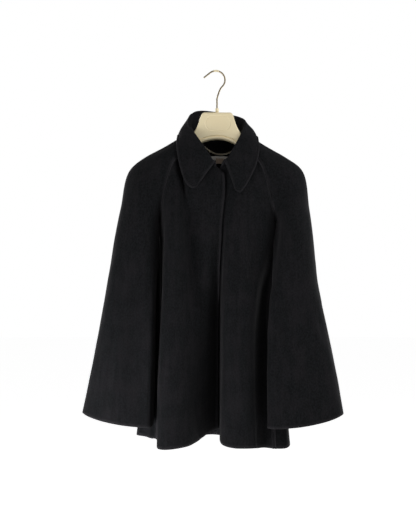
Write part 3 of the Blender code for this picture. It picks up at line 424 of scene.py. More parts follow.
def with_neck(line):
    """A line's stations as points, its neck angle turned into a point of the neckline."""
    first = line[1] if isinstance(line[1], tuple) else neck_point(line[1])
    return [first] + list(line[2:])


def neck_point(angle):
    """Point of the neckline at an angle, 0 at the front and -90 at -X."""
    a = math.radians(angle)
    front = math.cos(a)
    x = NECK_HALF_WIDTH * math.copysign(abs(math.sin(a)) ** NECK_ROUND, math.sin(a))
    if front > 0:
        drop = NECK_FRONT_DROP * (1.25 * front**2 - 0.25 * front**6)
        return np.array([x, -NECK_FRONT_REACH * front, NECK_SIDE_Z - drop])
    return np.array([x, -NECK_BACK_REACH * front, NECK_SIDE_Z + NECK_BACK_DROP * front])


def neck_normal(angle):
    return np.array([math.sin(math.radians(angle)), -math.cos(math.radians(angle)), 0.0])


def sleeve_inner_rows(raglan, underarm):
    """The raglan seam down to the underarm, then the sleeve's own underarm seam to the cuff."""
    upper = rows_of(with_neck(raglan))[: ARM_ROW]
    return np.vstack([upper, rows_of(underarm[5:], first=4)])


def body_rows(lines, last, first=None):
    """Fold lines given by x, y: a missing z lies evenly between the piece's two border lines."""
    near, far = with_neck(first or lines[0]), with_neck(last)
    extra = 1 if first else 0
    out = []
    for i, line in enumerate(lines):
        share = (i + extra) / (len(lines) + extra)
        points = with_neck(line)
        for k, point in enumerate(points):
            if len(point) == 2:
                points[k] = (*point, near[k][2] + (far[k][2] - near[k][2]) * share)
        out.append(rows_of(points))
    return out


def sleeve_rows(folds, inner, outer):
    """Fold lines given by their share of the way from the inner line to the outer, and y."""
    sag = np.zeros(ROWS)
    sag[ARM_ROW:] = np.linspace(0, 1, ROWS - ARM_ROW) ** 2 * CUFF_SAG
    out = []
    for fold in folds:
        at = np.array(STATION_AT[1:], float)
        points = np.array(fold[2:], float)
        below = ROW_PLACES >= at[0]
        share = np.interp(ROW_PLACES, (0, at[0]), (0, fold.collar[0]))
        depth = np.zeros(ROWS)
        table = hermite(points, at, tangents(points, at), ROW_PLACES[below])
        share[below], depth[below] = table[:, 0], table[:, 1]
        line = inner + (outer - inner) * share[:, None]
        line[:, 1] = depth
        line[:, 2] -= 4 * share * (1 - share) * sag
        top, first = neck_point(fold.neck), int(np.argmax(below))
        for row in range(first):
            line[row] = top + (line[first] - top) * ROW_PLACES[row] / at[0]
        out.append(line)
    return out


def opened(lines, shifts):
    """Moves the back's lines sideways just below the underarm, so that it clears the sleeve."""
    knots = np.arange(CAD_ARM_ROW - 1, CAD_ARM_ROW + len(UNDERARM_EASE) - 1)
    ease = np.interp(CAD_ROW, knots, UNDERARM_EASE, left=0, right=0)
    for line, shift in zip(lines, shifts):
        line[:, 0] += shift * ease


def mirrored(edge, inner):
    """A ghost line past a free edge, so that the cloth ends straight."""
    return 2 * edge - inner


def switched(upper, lower):
    """A neighbour's line that changes at the underarm, where the sleeve leaves the body."""
    return np.vstack([upper[:ARM_ROW], lower[ARM_ROW:]])


CAD_ARM_ROW = sum(CAD_ROWS[:4])
raglan_fr, raglan_br = (rows_of(with_neck(s)) for s in (RAGLAN_FRONT_RIGHT, RAGLAN_BACK_RIGHT))
raglan_fl, raglan_bl = (rows_of(with_neck(s)) for s in (RAGLAN_FRONT_LEFT, RAGLAN_BACK_LEFT))
over_r, over_l = rows_of(with_neck(OVERARM_RIGHT)), rows_of(with_neck(OVERARM_LEFT))
inner_fr = sleeve_inner_rows(RAGLAN_FRONT_RIGHT, UNDERARM_RIGHT)
inner_br = sleeve_inner_rows(RAGLAN_BACK_RIGHT, UNDERARM_RIGHT)
inner_fl = sleeve_inner_rows(RAGLAN_FRONT_LEFT, UNDERARM_LEFT)
inner_bl = sleeve_inner_rows(RAGLAN_BACK_LEFT, UNDERARM_LEFT)

# Near its lower end each front raglan seam stays forward a little longer than the line itself.
to_arm = (ROW_PLACES - STATION_AT[3]) / (STATION_AT[4] - STATION_AT[3])
held = np.sin(math.pi * np.clip(to_arm, 0, 1))
for seam_line, reach in ((raglan_fr, 3), (inner_fr, 3), (raglan_fl, 9), (inner_fl, 9)):
    seam_line[:, 1] -= held**2 * reach

front_r = body_rows(FRONT_RIGHT, RAGLAN_FRONT_RIGHT) + [raglan_fr]
front_l = body_rows(FRONT_LEFT, RAGLAN_FRONT_LEFT) + [raglan_fl]
back = [raglan_br] + body_rows(BACK, RAGLAN_BACK_LEFT, first=RAGLAN_BACK_RIGHT) + [raglan_bl]
sleeve_fr = [inner_fr] + sleeve_rows(SLEEVE_FRONT_RIGHT, inner_fr, over_r) + [over_r]
sleeve_br = [inner_br] + sleeve_rows(SLEEVE_BACK_RIGHT, inner_br, over_r) + [over_r]
sleeve_fl = [inner_fl] + sleeve_rows(SLEEVE_FRONT_LEFT, inner_fl, over_l) + [over_l]
sleeve_bl = [inner_bl] + sleeve_rows(SLEEVE_BACK_LEFT, inner_bl, over_l) + [over_l]

# On the wearer's right the body's side seam is drawn in, so that the sleeve hangs clear of it.
DRAWN_IN = ((210, 0), (255, 8), (300, 8), (395, 5), (590, 1.5), (740, 0))  # place, by how much
drawn = np.interp(ROW_PLACES, *zip(*DRAWN_IN))
for line, share in ((raglan_fr, 1), (raglan_br, 1), (front_r[-2], 0.9), (front_r[-3], 0.4)):
    line[ARM_ROW:, 0] += drawn[ARM_ROW:] * share

# Just under the arm the back spreads behind the sleeve. Below it the pieces share their seams.
opened((back[1], back[2]), (-8, -10))
opened((back[-2], back[-3]), (10, 10))
back[0][ARM_ROW:], back[-1][ARM_ROW:] = raglan_fr[ARM_ROW:], raglan_fl[ARM_ROW:]
inner_br[ARM_ROW:], inner_bl[ARM_ROW:] = inner_fr[ARM_ROW:], inner_fl[ARM_ROW:]

# Distances in from a seam or an edge, mm, where a column or row lies, so that the turned edge,
# the stitched groove and the swell between them have their own shape.
NEAR_EDGE = (0, 1.0, 2.2, 3.6, 5.2, 6.4, 7.2, 8.2, 10, 13)
STITCH_IN = 7.0  # topstitching, from the edge
STITCH_SPREAD = 1.1
# kind of side: depth of the seam itself, of the stitched groove, the swell between them, and the
# strength of the painted highlight along it
Side = namedtuple("Side", "sink groove swell press")
SIDES = {
    "edge": Side(0.0, 0.9, 1.3, 0.35),
    "collar": Side(0.0, 0.8, 1.2, 0.2),
    "raglan": Side(0.1, 0.4, 1.8, 0.42),
    "sleeve": Side(0.1, 0.0, 0.6, 0.3),
    "seam": Side(0.6, 0.0, 0.0, 0.0),
}
# Painted highlight along the hem: its strength, and its width in mm.
HEM_HIGHLIGHT, HEM_HIGHLIGHT_WIDTH = 0.4, 2.0
SEAM_SPREAD = 1.1
SWELL_AT, SWELL_SPREAD = STITCH_IN * 0.45, STITCH_IN * 0.3
# The painted highlight starts this far in from a side and fades over its spread.
HIGHLIGHT_FROM, HIGHLIGHT_SPREAD = 1.5, STITCH_IN * 0.45

# panel: lines, ghost line before, ghost line after, columns, way out, kinds of its two sides
Panel = namedtuple("Panel", "lines before after columns out left right")
PANELS = {
    "front_right": Panel(front_r, mirrored(front_r[0], front_r[1]),
                         switched(sleeve_fr[1], back[1]), 100, 1, "edge", "raglan"),
    "front_left": Panel(front_l, mirrored(front_l[0], front_l[1]),
                        switched(sleeve_fl[1], back[-2]), 100, -1, "edge", "raglan"),
    "back": Panel(back, switched(sleeve_br[1], front_r[-2]),
                  switched(sleeve_bl[1], front_l[-2]), 110, 1, "raglan", "raglan"),
    "sleeve_front_right": Panel(sleeve_fr, switched(front_r[-2], sleeve_br[1]), sleeve_br[-2],
                                64, 1, "sleeve", "seam"),
    "sleeve_back_right": Panel(sleeve_br, switched(back[1], sleeve_fr[1]), sleeve_fr[-2],
                               56, -1, "sleeve", "seam"),
    "sleeve_front_left": Panel(sleeve_fl, switched(front_l[-2], sleeve_bl[1]), sleeve_bl[-2],
                               64, -1, "sleeve", "seam"),
    "sleeve_back_left": Panel(sleeve_bl, switched(back[-2], sleeve_fl[1]), sleeve_fl[-2],
                              56, 1, "sleeve", "seam"),
}


def resampled(curve, columns):
    """Points along one row: close together near its two ends, even between them."""
    run = np.concatenate([[0], np.cumsum(np.linalg.norm(np.diff(curve, axis=0), axis=1))])
    near = np.array(NEAR_EDGE) * min(1.0, run[-1] / (4 * NEAR_EDGE[-1]))
    middle = np.linspace(near[-1], run[-1] - near[-1], columns - 2 * len(near) + 2)[1:-1]
    places = np.concatenate([near, middle, run[-1] - near[::-1]])
    points = np.stack([np.interp(places, run, curve[:, i]) for i in range(3)], axis=1)
    return points, places, run[-1]


STEPS_BETWEEN = 12  # of a row's curve, between two fold lines


def panel_grid(panel):
    """Grid of a panel's middle surface, with each point's distance from the two side edges."""
    keys = np.array([panel.before] + list(panel.lines) + [panel.after])
    grid, from_left, from_right = [], [], []
    for row in range(keys.shape[1]):
        points = keys[:, row]
        gaps = np.sqrt(np.maximum(np.linalg.norm(np.diff(points, axis=0), axis=1), 1e-3))
        at = np.concatenate([[0], np.cumsum(gaps)])
        where = stepped(at[1:-1], [STEPS_BETWEEN] * (len(at) - 3))
        curve = hermite(points, at, tangents(points, at), where)
        line, places, length = resampled(curve, panel.columns)
        grid.append(line)
        from_left.append(places)
        from_right.append(length - places)
    return np.array(grid), np.array(from_left), np.array(from_right)


# Deep hollows between the hanging folds of the fronts, in the front view: points down the path
# as x, z and depth (minus stands forward), then half widths to its left and right. They add up,
# and go much deeper than the solids' own folds.
Hollow = namedtuple("Hollow", "path left right")
HOLLOWS = (
    Hollow(((-91, -192, 0), (-89, -206, 12), (-87, -240, 16), (-79, -264, 18), (-76, -290, 12),
            (-74, -340, 0)), 5.5, 5),
    Hollow(((7, -400, 0), (7, -470, 10), (8, -560, 26), (8, -680, 28), (7, -800, 22),
            (6, -890, 14)), 20, 3.5),
    Hollow(((-146, -430, 0), (-146, -500, -5), (-147, -560, -8), (-150, -640, -10),
            (-153, -720, -10), (-155, -800, -10), (-157, -870, -8)), 15, 3.5),
    Hollow(((-62, -300, 0), (-56, -370, 8), (-50, -440, 15), (-38, -510, 12), (-26, -590, 0)),
           14, 22),
)
FRONT_ONLY = (42, 52)  # the hollows fade out between these depths

# The right front's free edge stands back from the left front where the hollow is steep, and the
# left front's hidden underlap hangs deeper there, so the two don't touch: how far at each height,
# where beside the edge the move starts and the width over which it grows (minus runs to -X).
Clearing = namedtuple("Clearing", "moves start width way")
CLEARINGS = {
    "front_right": Clearing(((-400, 0), (-470, 3), (-620, 3.5), (-700, 2), (-800, 1), (-890, 0)),
                            -22, 26, (-1, 0, 0)),
    "front_left": Clearing(((-400, 0), (-480, 7), (-560, 11), (-680, 10), (-760, 5), (-860, 0)),
                           8, -9, (0, 1, 0)),
}


def cleared(grid, clearing):
    """A front's grid with its strip beside the edge moved clear of the other front."""
    heights, moves = (np.array(part, float) for part in zip(*clearing.moves))
    share = np.clip((grid[..., 0] - clearing.start) / clearing.width, 0, 1)
    move = np.interp(-grid[..., 2], -heights, moves) * share**2 * (3 - 2 * share)
    return grid + move[..., None] * clearing.way


def sunk(grid):
    """The grid with the fronts' deep hollows pressed in."""
    x, y, z = grid[..., 0], grid[..., 1], grid[..., 2]
    shift = np.zeros(x.shape)
    for hollow in HOLLOWS:
        xs, zs, depths = (np.array(part, float) for part in zip(*hollow.path))
        gap = x - np.interp(-z, -zs, xs)
        depth = np.interp(-z, -zs, depths, left=0, right=depths[-1])
        shift += depth * np.exp(-((gap / np.where(gap < 0, hollow.left, hollow.right)) ** 2))
    pressed = grid.copy()
    pressed[..., 1] += shift * np.interp(y, FRONT_ONLY, (1, 0))
    return pressed


def grid_normals(grid):
    """Area-weighted normal at each point of a grid, not yet unit length."""
    down, right = np.diff(grid, axis=0), np.diff(grid, axis=1)
    normals = np.zeros_like(grid)
    for i0, j0 in ((0, 0), (0, 1), (1, 0), (1, 1)):
        face = np.cross(right[i0: right.shape[0] - 1 + i0, :],
                        down[:, j0: down.shape[1] - 1 + j0])
        normals[i0: i0 + face.shape[0], j0: j0 + face.shape[1]] += face
    return normals


def key_of(point):
    return tuple(np.round(point, 3))


# Creases and soft folds pressed into the hang: the path's three points as x, z in the
# front view, half width, and height out of the cloth (minus is a hollow).
Crease = namedtuple("Crease", "top middle low width height")
CREASES = {
    "front_right": (
        Crease((-77, -292), (-63, -420), (-50, -560), 14, -6.0),
        Crease((-100, -300), (-90, -470), (-80, -660), 17, 2.5),
        Crease((-78, -178), (-75, -215), (-66, -262), 5, -5.0),
        Crease((-54, -760), (-49, -815), (-41, -885), 5, -2.2),
        Crease((-45, -765), (-40, -820), (-32, -885), 5, 1.6),
        Crease((-104, -640), (-108, -720), (-106, -820), 9, 1.0),
    ),
    "front_left": (
        Crease((112, -300), (101, -400), (86, -540), 13, -3.0),
        Crease((60, -330), (52, -480), (48, -700), 20, 1.6),
        Crease((70, -600), (74, -690), (70, -790), 9, -1.2),
        Crease((97, -826), (97, -856), (94, -888), 4, -1.6),
        Crease((66, -790), (72, -835), (70, -880), 6, 1.0),
    ),
    "back": (
        Crease((-60, -240), (-72, -420), (-96, -640), 14, -3.0),
        Crease((50, -250), (60, -430), (82, -620), 14, -3.0),
        Crease((0, -260), (4, -400), (-4, -560), 12, -2.0),
        Crease((-30, -600), (-34, -700), (-30, -800), 8, 1.5),
        Crease((112, -400), (118, -520), (130, -660), 10, -2.0),
        Crease((-110, -380), (-124, -520), (-140, -680), 10, -2.2),
        Crease((46, -700), (52, -780), (50, -860), 6, 1.4),
        Crease((-90, -760), (-96, -820), (-94, -880), 6, -1.6),
    ),
    "sleeve_front_right": (
        Crease((-226, -560), (-240, -700), (-250, -845), 5, 2.8),
        Crease((-240, -520), (-258, -690), (-270, -835), 4.5, 2.6),
        Crease((-234, -600), (-249, -720), (-259, -840), 4.5, -2.2),
        Crease((-262, -640), (-275, -730), (-286, -815), 5, 2.0),
        Crease((-186, -480), (-191, -620), (-196, -800), 16, -2.0),
        Crease((-178, -250), (-192, -330), (-200, -430), 14, 1.6),
        Crease((-212, -430), (-220, -520), (-222, -620), 8, -1.2),
    ),
    "sleeve_back_right": (
        Crease((-190, -400), (-215, -560), (-230, -740), 12, -2.5),
        Crease((-240, -520), (-262, -660), (-280, -790), 8, 1.6),
        Crease((-180, -560), (-192, -680), (-196, -790), 8, 1.6),
        Crease((-252, -700), (-262, -760), (-268, -820), 5, -1.4),
    ),
    "sleeve_front_left": (
        Crease((206, -420), (224, -560), (250, -740), 12, 1.6),
        Crease((214, -520), (240, -600), (262, -690), 8, -1.5),
        Crease((190, -640), (215, -655), (247, -650), 7, -1.0),
        Crease((200, -742), (230, -752), (264, -744), 8, -1.0),
        Crease((178, -790), (204, -806), (238, -812), 7, 0.9),
        Crease((234, -450), (246, -500), (250, -560), 6, 1.2),
        Crease((168, -260), (186, -330), (196, -430), 14, 1.4),
    ),
    "sleeve_back_left": (
        Crease((180, -400), (205, -560), (222, -740), 12, -2.5),
        Crease((225, -500), (246, -640), (262, -780), 8, 1.6),
        Crease((200, -620), (215, -700), (224, -800), 7, -1.3),
        Crease((176, -640), (186, -730), (192, -820), 6, 1.3),
    ),
}


CREASE_STEPS = 32
CREASE_FADE = 0.6  # under 1 keeps a crease's height nearer to its ends


def creased(grid, creases):
    """Height of a panel's creases at each grid point, fading at both ends of each."""
    height = np.zeros(grid.shape[:2])
    for crease in creases:
        t = np.linspace(0, 1, CREASE_STEPS + 1)[:, None]
        a, b, c = (np.array(p, float) for p in crease[:3])
        path = (1 - t) ** 2 * a + 2 * t * (1 - t) * (2 * b - (a + c) / 2) + t**2 * c
        gap = np.linalg.norm(grid[:, :, None, ::2] - path, axis=-1)
        nearest = gap.argmin(axis=-1) / CREASE_STEPS
        fade = np.sin(math.pi * nearest.clip(0, 1)) ** CREASE_FADE
        height += crease.height * fade * np.exp(-((gap.min(axis=-1) / crease.width) ** 2))
    return height


WAVES = 14
WAVE_LENGTHS, WAVE_HEIGHTS, WAVE_STARTS = (35, 120), (0.08, 0.22), (0, 6.28)


def uneven(grid, seed):
    """A slow unevenness of milled wool from a few seeded waves that add up."""
    random = np.random.default_rng(seed)
    height = np.zeros(grid.shape[:2])
    for _ in range(WAVES):
        long, high = random.uniform(*WAVE_LENGTHS), random.uniform(*WAVE_HEIGHTS)
        turn, start = random.uniform(0, math.pi), random.uniform(*WAVE_STARTS)
        wave = np.array([math.cos(turn), 0.8, 0.55 * math.sin(turn)]) * 2 * math.pi / long
        height += high * np.sin(grid @ wave + start)
    return height


def edge_relief(distance, kind):
    """Height near one side: a seam sinks, a stitched line is a groove and the edge swells."""
    side = SIDES[kind]
    height = -side.sink * np.exp(-((distance / SEAM_SPREAD) ** 2))
    height -= side.groove * np.exp(-(((distance - STITCH_IN) / STITCH_SPREAD) ** 2))
    return height + side.swell * np.exp(-(((distance - SWELL_AT) / SWELL_SPREAD) ** 2))


def painted_highlight_at(distance, kind):
    """Strength of the painted highlight near one side, from 0 to 1."""
    past = np.maximum(distance - HIGHLIGHT_FROM, 0)
    return SIDES[kind].press * np.exp(-((past / HIGHLIGHT_SPREAD) ** 2))


def add_piece(name, points, faces, material, uv=None, smooth=True):
    """A mesh object from points in mm, faces turned out, with its map in metres of cloth."""
    points = np.asarray(points, float) * MM
    mesh = bpy.data.meshes.new(name)
    mesh.from_pydata(points.tolist(), [], faces)
    if uv is not None:
        layer = mesh.uv_layers.new(name="cloth")
        order = np.zeros(len(mesh.loops), int)
        mesh.loops.foreach_get("vertex_index", order)
        layer.data.foreach_set("uv", np.asarray(uv)[order].ravel())
    mesh.materials.append(material)
    mesh.polygons.foreach_set("use_smooth", [smooth] * len(mesh.polygons))
    mesh.update()
    made = bpy.data.objects.new(name, mesh)
    scene.collection.objects.link(made)
    return made


RIM_OUT = 0.3  # how far the rounded rim stands out, as a share of the wall


def wall_piece(name, outer, inner, material, places=None, pressed=None):
    """Closed wall between two grids, its rim rounded by one more loop of points."""
    rows, columns = outer.shape[:2]
    shift = rows * columns
    faces = []
    for i in range(rows - 1):
        for j in range(columns - 1):
            a, b = i * columns + j, i * columns + j + 1
            c, d = b + columns, a + columns
            faces += [(a, b, c, d), (a + shift, d + shift, c + shift, b + shift)]
    border = [(0, j) for j in range(columns)] + [(i, columns - 1) for i in range(1, rows)]
    border += [(rows - 1, j) for j in range(columns - 2, -1, -1)]
    border += [(i, 0) for i in range(rows - 2, 0, -1)]
    middle = (outer + inner) / 2
    rim = []
    for i, j in border:
        towards = middle[min(max(i, 1), rows - 2), min(max(j, 1), columns - 2)]
        wall = np.linalg.norm(outer[i, j] - inner[i, j])
        rim.append(middle[i, j] + unit(middle[i, j] - towards) * wall * RIM_OUT)
    count = len(border)
    for k in range(count):
        (i0, j0), (i1, j1) = border[k], border[(k + 1) % count]
        a, b = i0 * columns + j0, i1 * columns + j1
        r0, r1 = 2 * shift + k, 2 * shift + (k + 1) % count
        faces += [(b, a, r0, r1), (a + shift, b + shift, r1, r0)]
    points = np.vstack([outer.reshape(-1, 3), inner.reshape(-1, 3), rim])
    facing = np.cross(points[faces[0][1]] - points[faces[0][0]],
                      points[faces[0][3]] - points[faces[0][0]])
    if np.dot(facing, outer[0, 0] - inner[0, 0]) < 0:
        faces = [face[::-1] for face in faces]
    uv = None
    if places is not None:
        flat = places.reshape(-1, 2)
        uv = np.vstack([flat, flat, [places[i, j] for i, j in border]])
    made = add_piece(name, points, faces, material, uv)
    # The painted highlight's strength at each point, kept as the point attribute pressed.
    if pressed is not None:
        flat = pressed.ravel()
        values = np.concatenate([flat, flat, [pressed[i, j] for i, j in border]])
        layer = made.data.attributes.new("pressed", "FLOAT", "POINT")
        layer.data.foreach_set("value", values)
    return made


grids, reliefs, painted_highlights, sums, raw = {}, {}, {}, {}, {}
for name, panel in PANELS.items():
    grid, from_left, from_right = panel_grid(panel)
    grid = sunk(grid)
    if name in CLEARINGS:
        grid = cleared(grid, CLEARINGS[name])
    grids[name] = grid
    raw[name] = grid_normals(grid) * panel.out
    for point, normal in zip(grid.reshape(-1, 3), raw[name].reshape(-1, 3)):
        sums[key_of(point)] = sums.get(key_of(point), 0) + normal
    reliefs[name] = edge_relief(from_left, panel.left) + edge_relief(from_right, panel.right)
    from_hem = np.linalg.norm(grid - grid[-1:], axis=2)
    # Painted highlight along both sides and the hem, whichever is strongest.
    painted_highlights[name] = np.maximum.reduce([
        painted_highlight_at(from_left, panel.left), painted_highlight_at(from_right, panel.right),
        HEM_HIGHLIGHT * np.exp(-((from_hem / HEM_HIGHLIGHT_WIDTH) ** 2))])

PANEL_SEED, CALM_COLUMNS = 40, 8  # creases fade out over the columns beside a seam
underarms = [key_of(RAGLAN_FRONT_RIGHT.arm), key_of(RAGLAN_FRONT_LEFT.arm)]
outer_faces, cloth_pieces = {}, {}
for number, (name, panel) in enumerate(PANELS.items()):
    grid = grids[name]
    flat = [unit(own) if key_of(p) in underarms else unit(sums[key_of(p)])
            for p, own in zip(grid.reshape(-1, 3), raw[name].reshape(-1, 3))]
    normals = np.array(flat).reshape(grid.shape)
    sides = np.minimum.reduce([np.arange(grid.shape[1]), np.arange(grid.shape[1])[::-1]])
    calm = np.clip(sides / CALM_COLUMNS, 0, 1)[None, :]
    lift = (uneven(grid, PANEL_SEED + number) + creased(grid, CREASES[name])) * calm
    middle = grid + normals * lift[..., None]
    outer = middle + normals * (CLOTH / 2 + reliefs[name])[..., None]
    inner = middle - normals * (CLOTH / 2)
    run = np.cumsum(np.linalg.norm(np.diff(grid, axis=1, prepend=grid[:, :1]), axis=2), axis=1)
    fall = np.cumsum(np.linalg.norm(np.diff(grid, axis=0, prepend=grid[:1]), axis=2), axis=0)
    outer_faces[name] = outer
    cloth_pieces[name] = wall_piece("wool_" + name, outer, inner, wool,
                                    np.stack([run, fall], axis=2) * MM, painted_highlights[name])

# How each panel is taken to have been cut: its flat width and length are its grid's longest row
# and column laid out straight and rounded up, and its flat area is that of the hanging cloth.
CUT_STEP = 0.010


def cut_of(grid):
    """Width and length in metres, and area in square metres, of the cloth that a grid needs."""
    grid = grid * MM
    width = np.linalg.norm(np.diff(grid, axis=1), axis=2).sum(axis=1).max()
    length = np.linalg.norm(np.diff(grid, axis=0), axis=2).sum(axis=0).max()
    across, down = grid[:, 1:] - grid[:, :-1], grid[1:] - grid[:-1]
    upper = np.linalg.norm(np.cross(across[:-1], down[:, :-1]), axis=2).sum()
    lower = np.linalg.norm(np.cross(across[1:], down[:, 1:]), axis=2).sum()
    flat = tuple(round(math.ceil(side / CUT_STEP) * CUT_STEP, 3) for side in (width, length))
    return flat, float(upper + lower) / 2


for name, piece in cloth_pieces.items():
    flat, area = cut_of(grids[name])
    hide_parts(name)
    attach(piece, "root")

# ---------------------------------------------------------------- collar
# One turn-down collar of two layers with its stand, points rounded, topstitched round its edge.
# It stands at the back and sides of the neck and falls open over the fronts.

LEAF = 2.6  # wall of the collar, mm: two layers pressed flat
# Sections of the collar by angle round the neck, 0 at the front, minus towards -X: the roll line,
# the outer edge of the fall, and the half width of the roll.
Section = namedtuple("Section", "angle roll edge half_roll")
COLLAR = (
    Section(-3, (-5, -63, -224), (-46, -72, -281), 3.8),
    Section(-11, (-13, -62, -215), (-54, -73, -285), 3.8),
    Section(-20, (-21, -58, -203), (-64, -71, -281), 3.9),
    Section(-33, (-31, -50, -186), (-75, -66, -265), 4.1),
    Section(-50, (-40, -37, -171), (-86, -57, -233), 4.4),
    Section(-70, (-56, -20, -147), (-94, -39, -189), 5.0),
    Section(-90, (-66, 8, -123), (-94, 0, -157), 5.6),
    Section(-116, (-62, 35, -97), (-90, 42, -170), 6.0),
    Section(-145, (-38, 50, -85), (-62, 70, -190), 6.4),
    Section(-180, (0, 57, -87), (2, 77, -197), 6.4),
    Section(-215, (38, 51, -96), (64, 70, -192), 6.4),
    Section(-244, (64, 37, -106), (94, 42, -174), 6.0),
    Section(-270, (70, 9, -126), (99, 0, -160), 5.6),
    Section(-290, (61, -19, -149), (100, -38, -193), 5.0),
    Section(-310, (49, -34, -174), (92, -56, -229), 4.4),
    Section(-326, (38, -47, -194), (77, -65, -262), 4.1),
    Section(-336, (28, -55, -210), (63, -70, -285), 3.9),
    Section(-342, (21, -59, -217), (53, -72, -295), 3.8),
    Section(-347, (16, -60, -221), (43, -70, -290), 3.8),
)
FALL_BULGE = 5
ROLL_REACH = 0.8  # how far out the roll turns, as a share of its half width
# The fall's two middle points: share of the way to its edge, and of the bulge.
FALL_UPPER, FALL_LOWER, LOWER_BULGE = 0.35, 0.7, 0.6
COLLAR_SECTIONS, SECTION_STEPS, COLLAR_ROWS, COLLAR_COLUMNS = 145, 10, 52, 170
COLLAR_SEED, COLLAR_UNEVEN = 71, 0.6

at = np.array([-section.angle for section in COLLAR], float)
around = np.linspace(at[0], at[-1], COLLAR_SECTIONS)
table = [np.array([getattr(section, key) for section in COLLAR], float)
         for key in ("roll", "edge", "half_roll")]
table[2] = table[2][:, None]
roll, edge, half_roll = (hermite(points, at, tangents(points, at), around) for points in table)
sections = []
for i, angle in enumerate(-around):
    seam = neck_point(angle)
    out = unit((edge[i] - seam) * (1, 1, 0))
    drop = np.array([0, 0, -1.0]) * half_roll[i]
    inner_turn = roll[i] - out * half_roll[i] * ROLL_REACH + drop
    outer_turn = roll[i] + out * half_roll[i] * ROLL_REACH + drop
    lift = neck_normal(angle) * FALL_BULGE
    profile = np.array([seam, (seam + inner_turn) / 2, inner_turn, roll[i], outer_turn,
                        outer_turn + (edge[i] - outer_turn) * FALL_UPPER + lift,
                        outer_turn + (edge[i] - outer_turn) * FALL_LOWER + lift * LOWER_BULGE,
                        edge[i]])
    gaps = np.sqrt(np.linalg.norm(np.diff(profile, axis=0), axis=1))
    knots = np.concatenate([[0], np.cumsum(gaps)])
    places = stepped(knots, [SECTION_STEPS] * len(gaps))
    dense = hermite(profile, knots, tangents(profile, knots), places)
    sections.append(resampled(dense, COLLAR_ROWS)[0])
collar_grid = np.array(sections).transpose(1, 0, 2)
rows, to_left, to_right = [], [], []
for line in collar_grid:
    points, places, length = resampled(line, COLLAR_COLUMNS)
    rows.append(points)
    to_left.append(places)
    to_right.append(length - places)
collar_grid, to_left, to_right = np.array(rows), np.array(to_left), np.array(to_right)
down = np.linalg.norm(np.diff(collar_grid, axis=0), axis=2)
to_edge = np.vstack([np.cumsum(down[::-1], axis=0)[::-1], np.zeros(collar_grid.shape[1])])
normals = unit(-grid_normals(collar_grid))
if np.dot(normals[-1, normals.shape[1] // 2], (0, 1, 0)) < 0:
    normals = -normals
edge_gap = np.minimum(np.minimum(to_left, to_right), to_edge)
relief = edge_relief(edge_gap, "collar")
lift = uneven(collar_grid, COLLAR_SEED) * COLLAR_UNEVEN
middle = collar_grid + normals * lift[..., None]
collar_outer = middle + normals * (LEAF / 2 + relief)[..., None]
collar_inner = middle - normals * (LEAF / 2 + relief * 0.5)[..., None]
# The collar's edges take the same painted highlight.
collar = wall_piece("wool_collar", collar_outer, collar_inner, wool,
                    pressed=painted_highlight_at(edge_gap, "collar"))
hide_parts("collar")
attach(collar, "root")
flat, area = cut_of(collar_grid)

# ---------------------------------------------------------------- topstitching
# Black polyester thread, one row 7 mm in from the front edge, the collar's edge and each raglan
# seam. It lies in the groove that it pulls into the wool, so only its sheen tells it apart.

STITCH_PITCH, STITCH_LENGTH, THREAD = 3.4, 2.7, 0.5  # mm; the thread is drawn a little thick

thread, tree, shader = new_material("black_polyester_thread", Base_Color=srgb("#161618"),
                                    Roughness=0.8, IOR=1.5, Specular_IOR_Level=0.3)
# Two plies twisted round each other, drawn very coarse: a turn every 12.6 mm down the cloth. A
# wave node turns through WAVE_RATE radians a unit, and half that along its diagonal.
WAVE_RATE = 20
place = node(tree, "ShaderNodeTexCoord")
ply = node(tree, "ShaderNodeTexWave", [("Vector", place.outputs["Object"])],
           bands_direction="DIAGONAL", Scale=1 / 0.001 / WAVE_RATE, Distortion=1.0)
twist = node(tree, "ShaderNodeBump", [("Height", ply.outputs["Fac"])],
             Strength=0.4, Distance=0.0001)
tree.links.new(twist.outputs[0], shader.inputs["Normal"])


def named_tree(name, *sizes):
    """A Geometry Nodes tree with a path going in and named lengths in metres."""
    made = bpy.data.node_groups.new(name, "GeometryNodeTree")
    made.interface.new_socket(name="Path", in_out="INPUT", socket_type="NodeSocketGeometry")
    made.interface.new_socket(name="Made", in_out="OUTPUT", socket_type="NodeSocketGeometry")
    for size in sizes:
        made.interface.new_socket(name=size, in_out="INPUT", socket_type="NodeSocketFloat")
    return made, made.nodes.new("NodeGroupInput"), made.nodes.new("NodeGroupOutput")


def repeated(name, tree, lines, **sizes):
    """What a tree makes along the given lines, in mm, as a plain mesh object."""
    points, edges = [], []
    for line in lines:
        edges += [(len(points) + i, len(points) + i + 1) for i in range(len(line) - 1)]
        points += (np.asarray(line) * MM).tolist()
    path_mesh = bpy.data.meshes.new(name + "_path")
    path_mesh.from_pydata(points, edges, [])
    carrier = bpy.data.objects.new(name + "_path", path_mesh)
    scene.collection.objects.link(carrier)
    modifier = carrier.modifiers.new("repeat", "NODES")
    modifier.node_group = tree
    for socket in tree.interface.items_tree:
        if socket.name in sizes:
            modifier[socket.identifier] = sizes[socket.name] * MM
    evaluated = carrier.evaluated_get(bpy.context.evaluated_depsgraph_get())
    made = bpy.data.objects.new(name, bpy.data.meshes.new_from_object(evaluated))
    carrier.modifiers.remove(modifier)
    bpy.data.objects.remove(carrier)
    made.data.name = name
    scene.collection.objects.link(made)
    return made


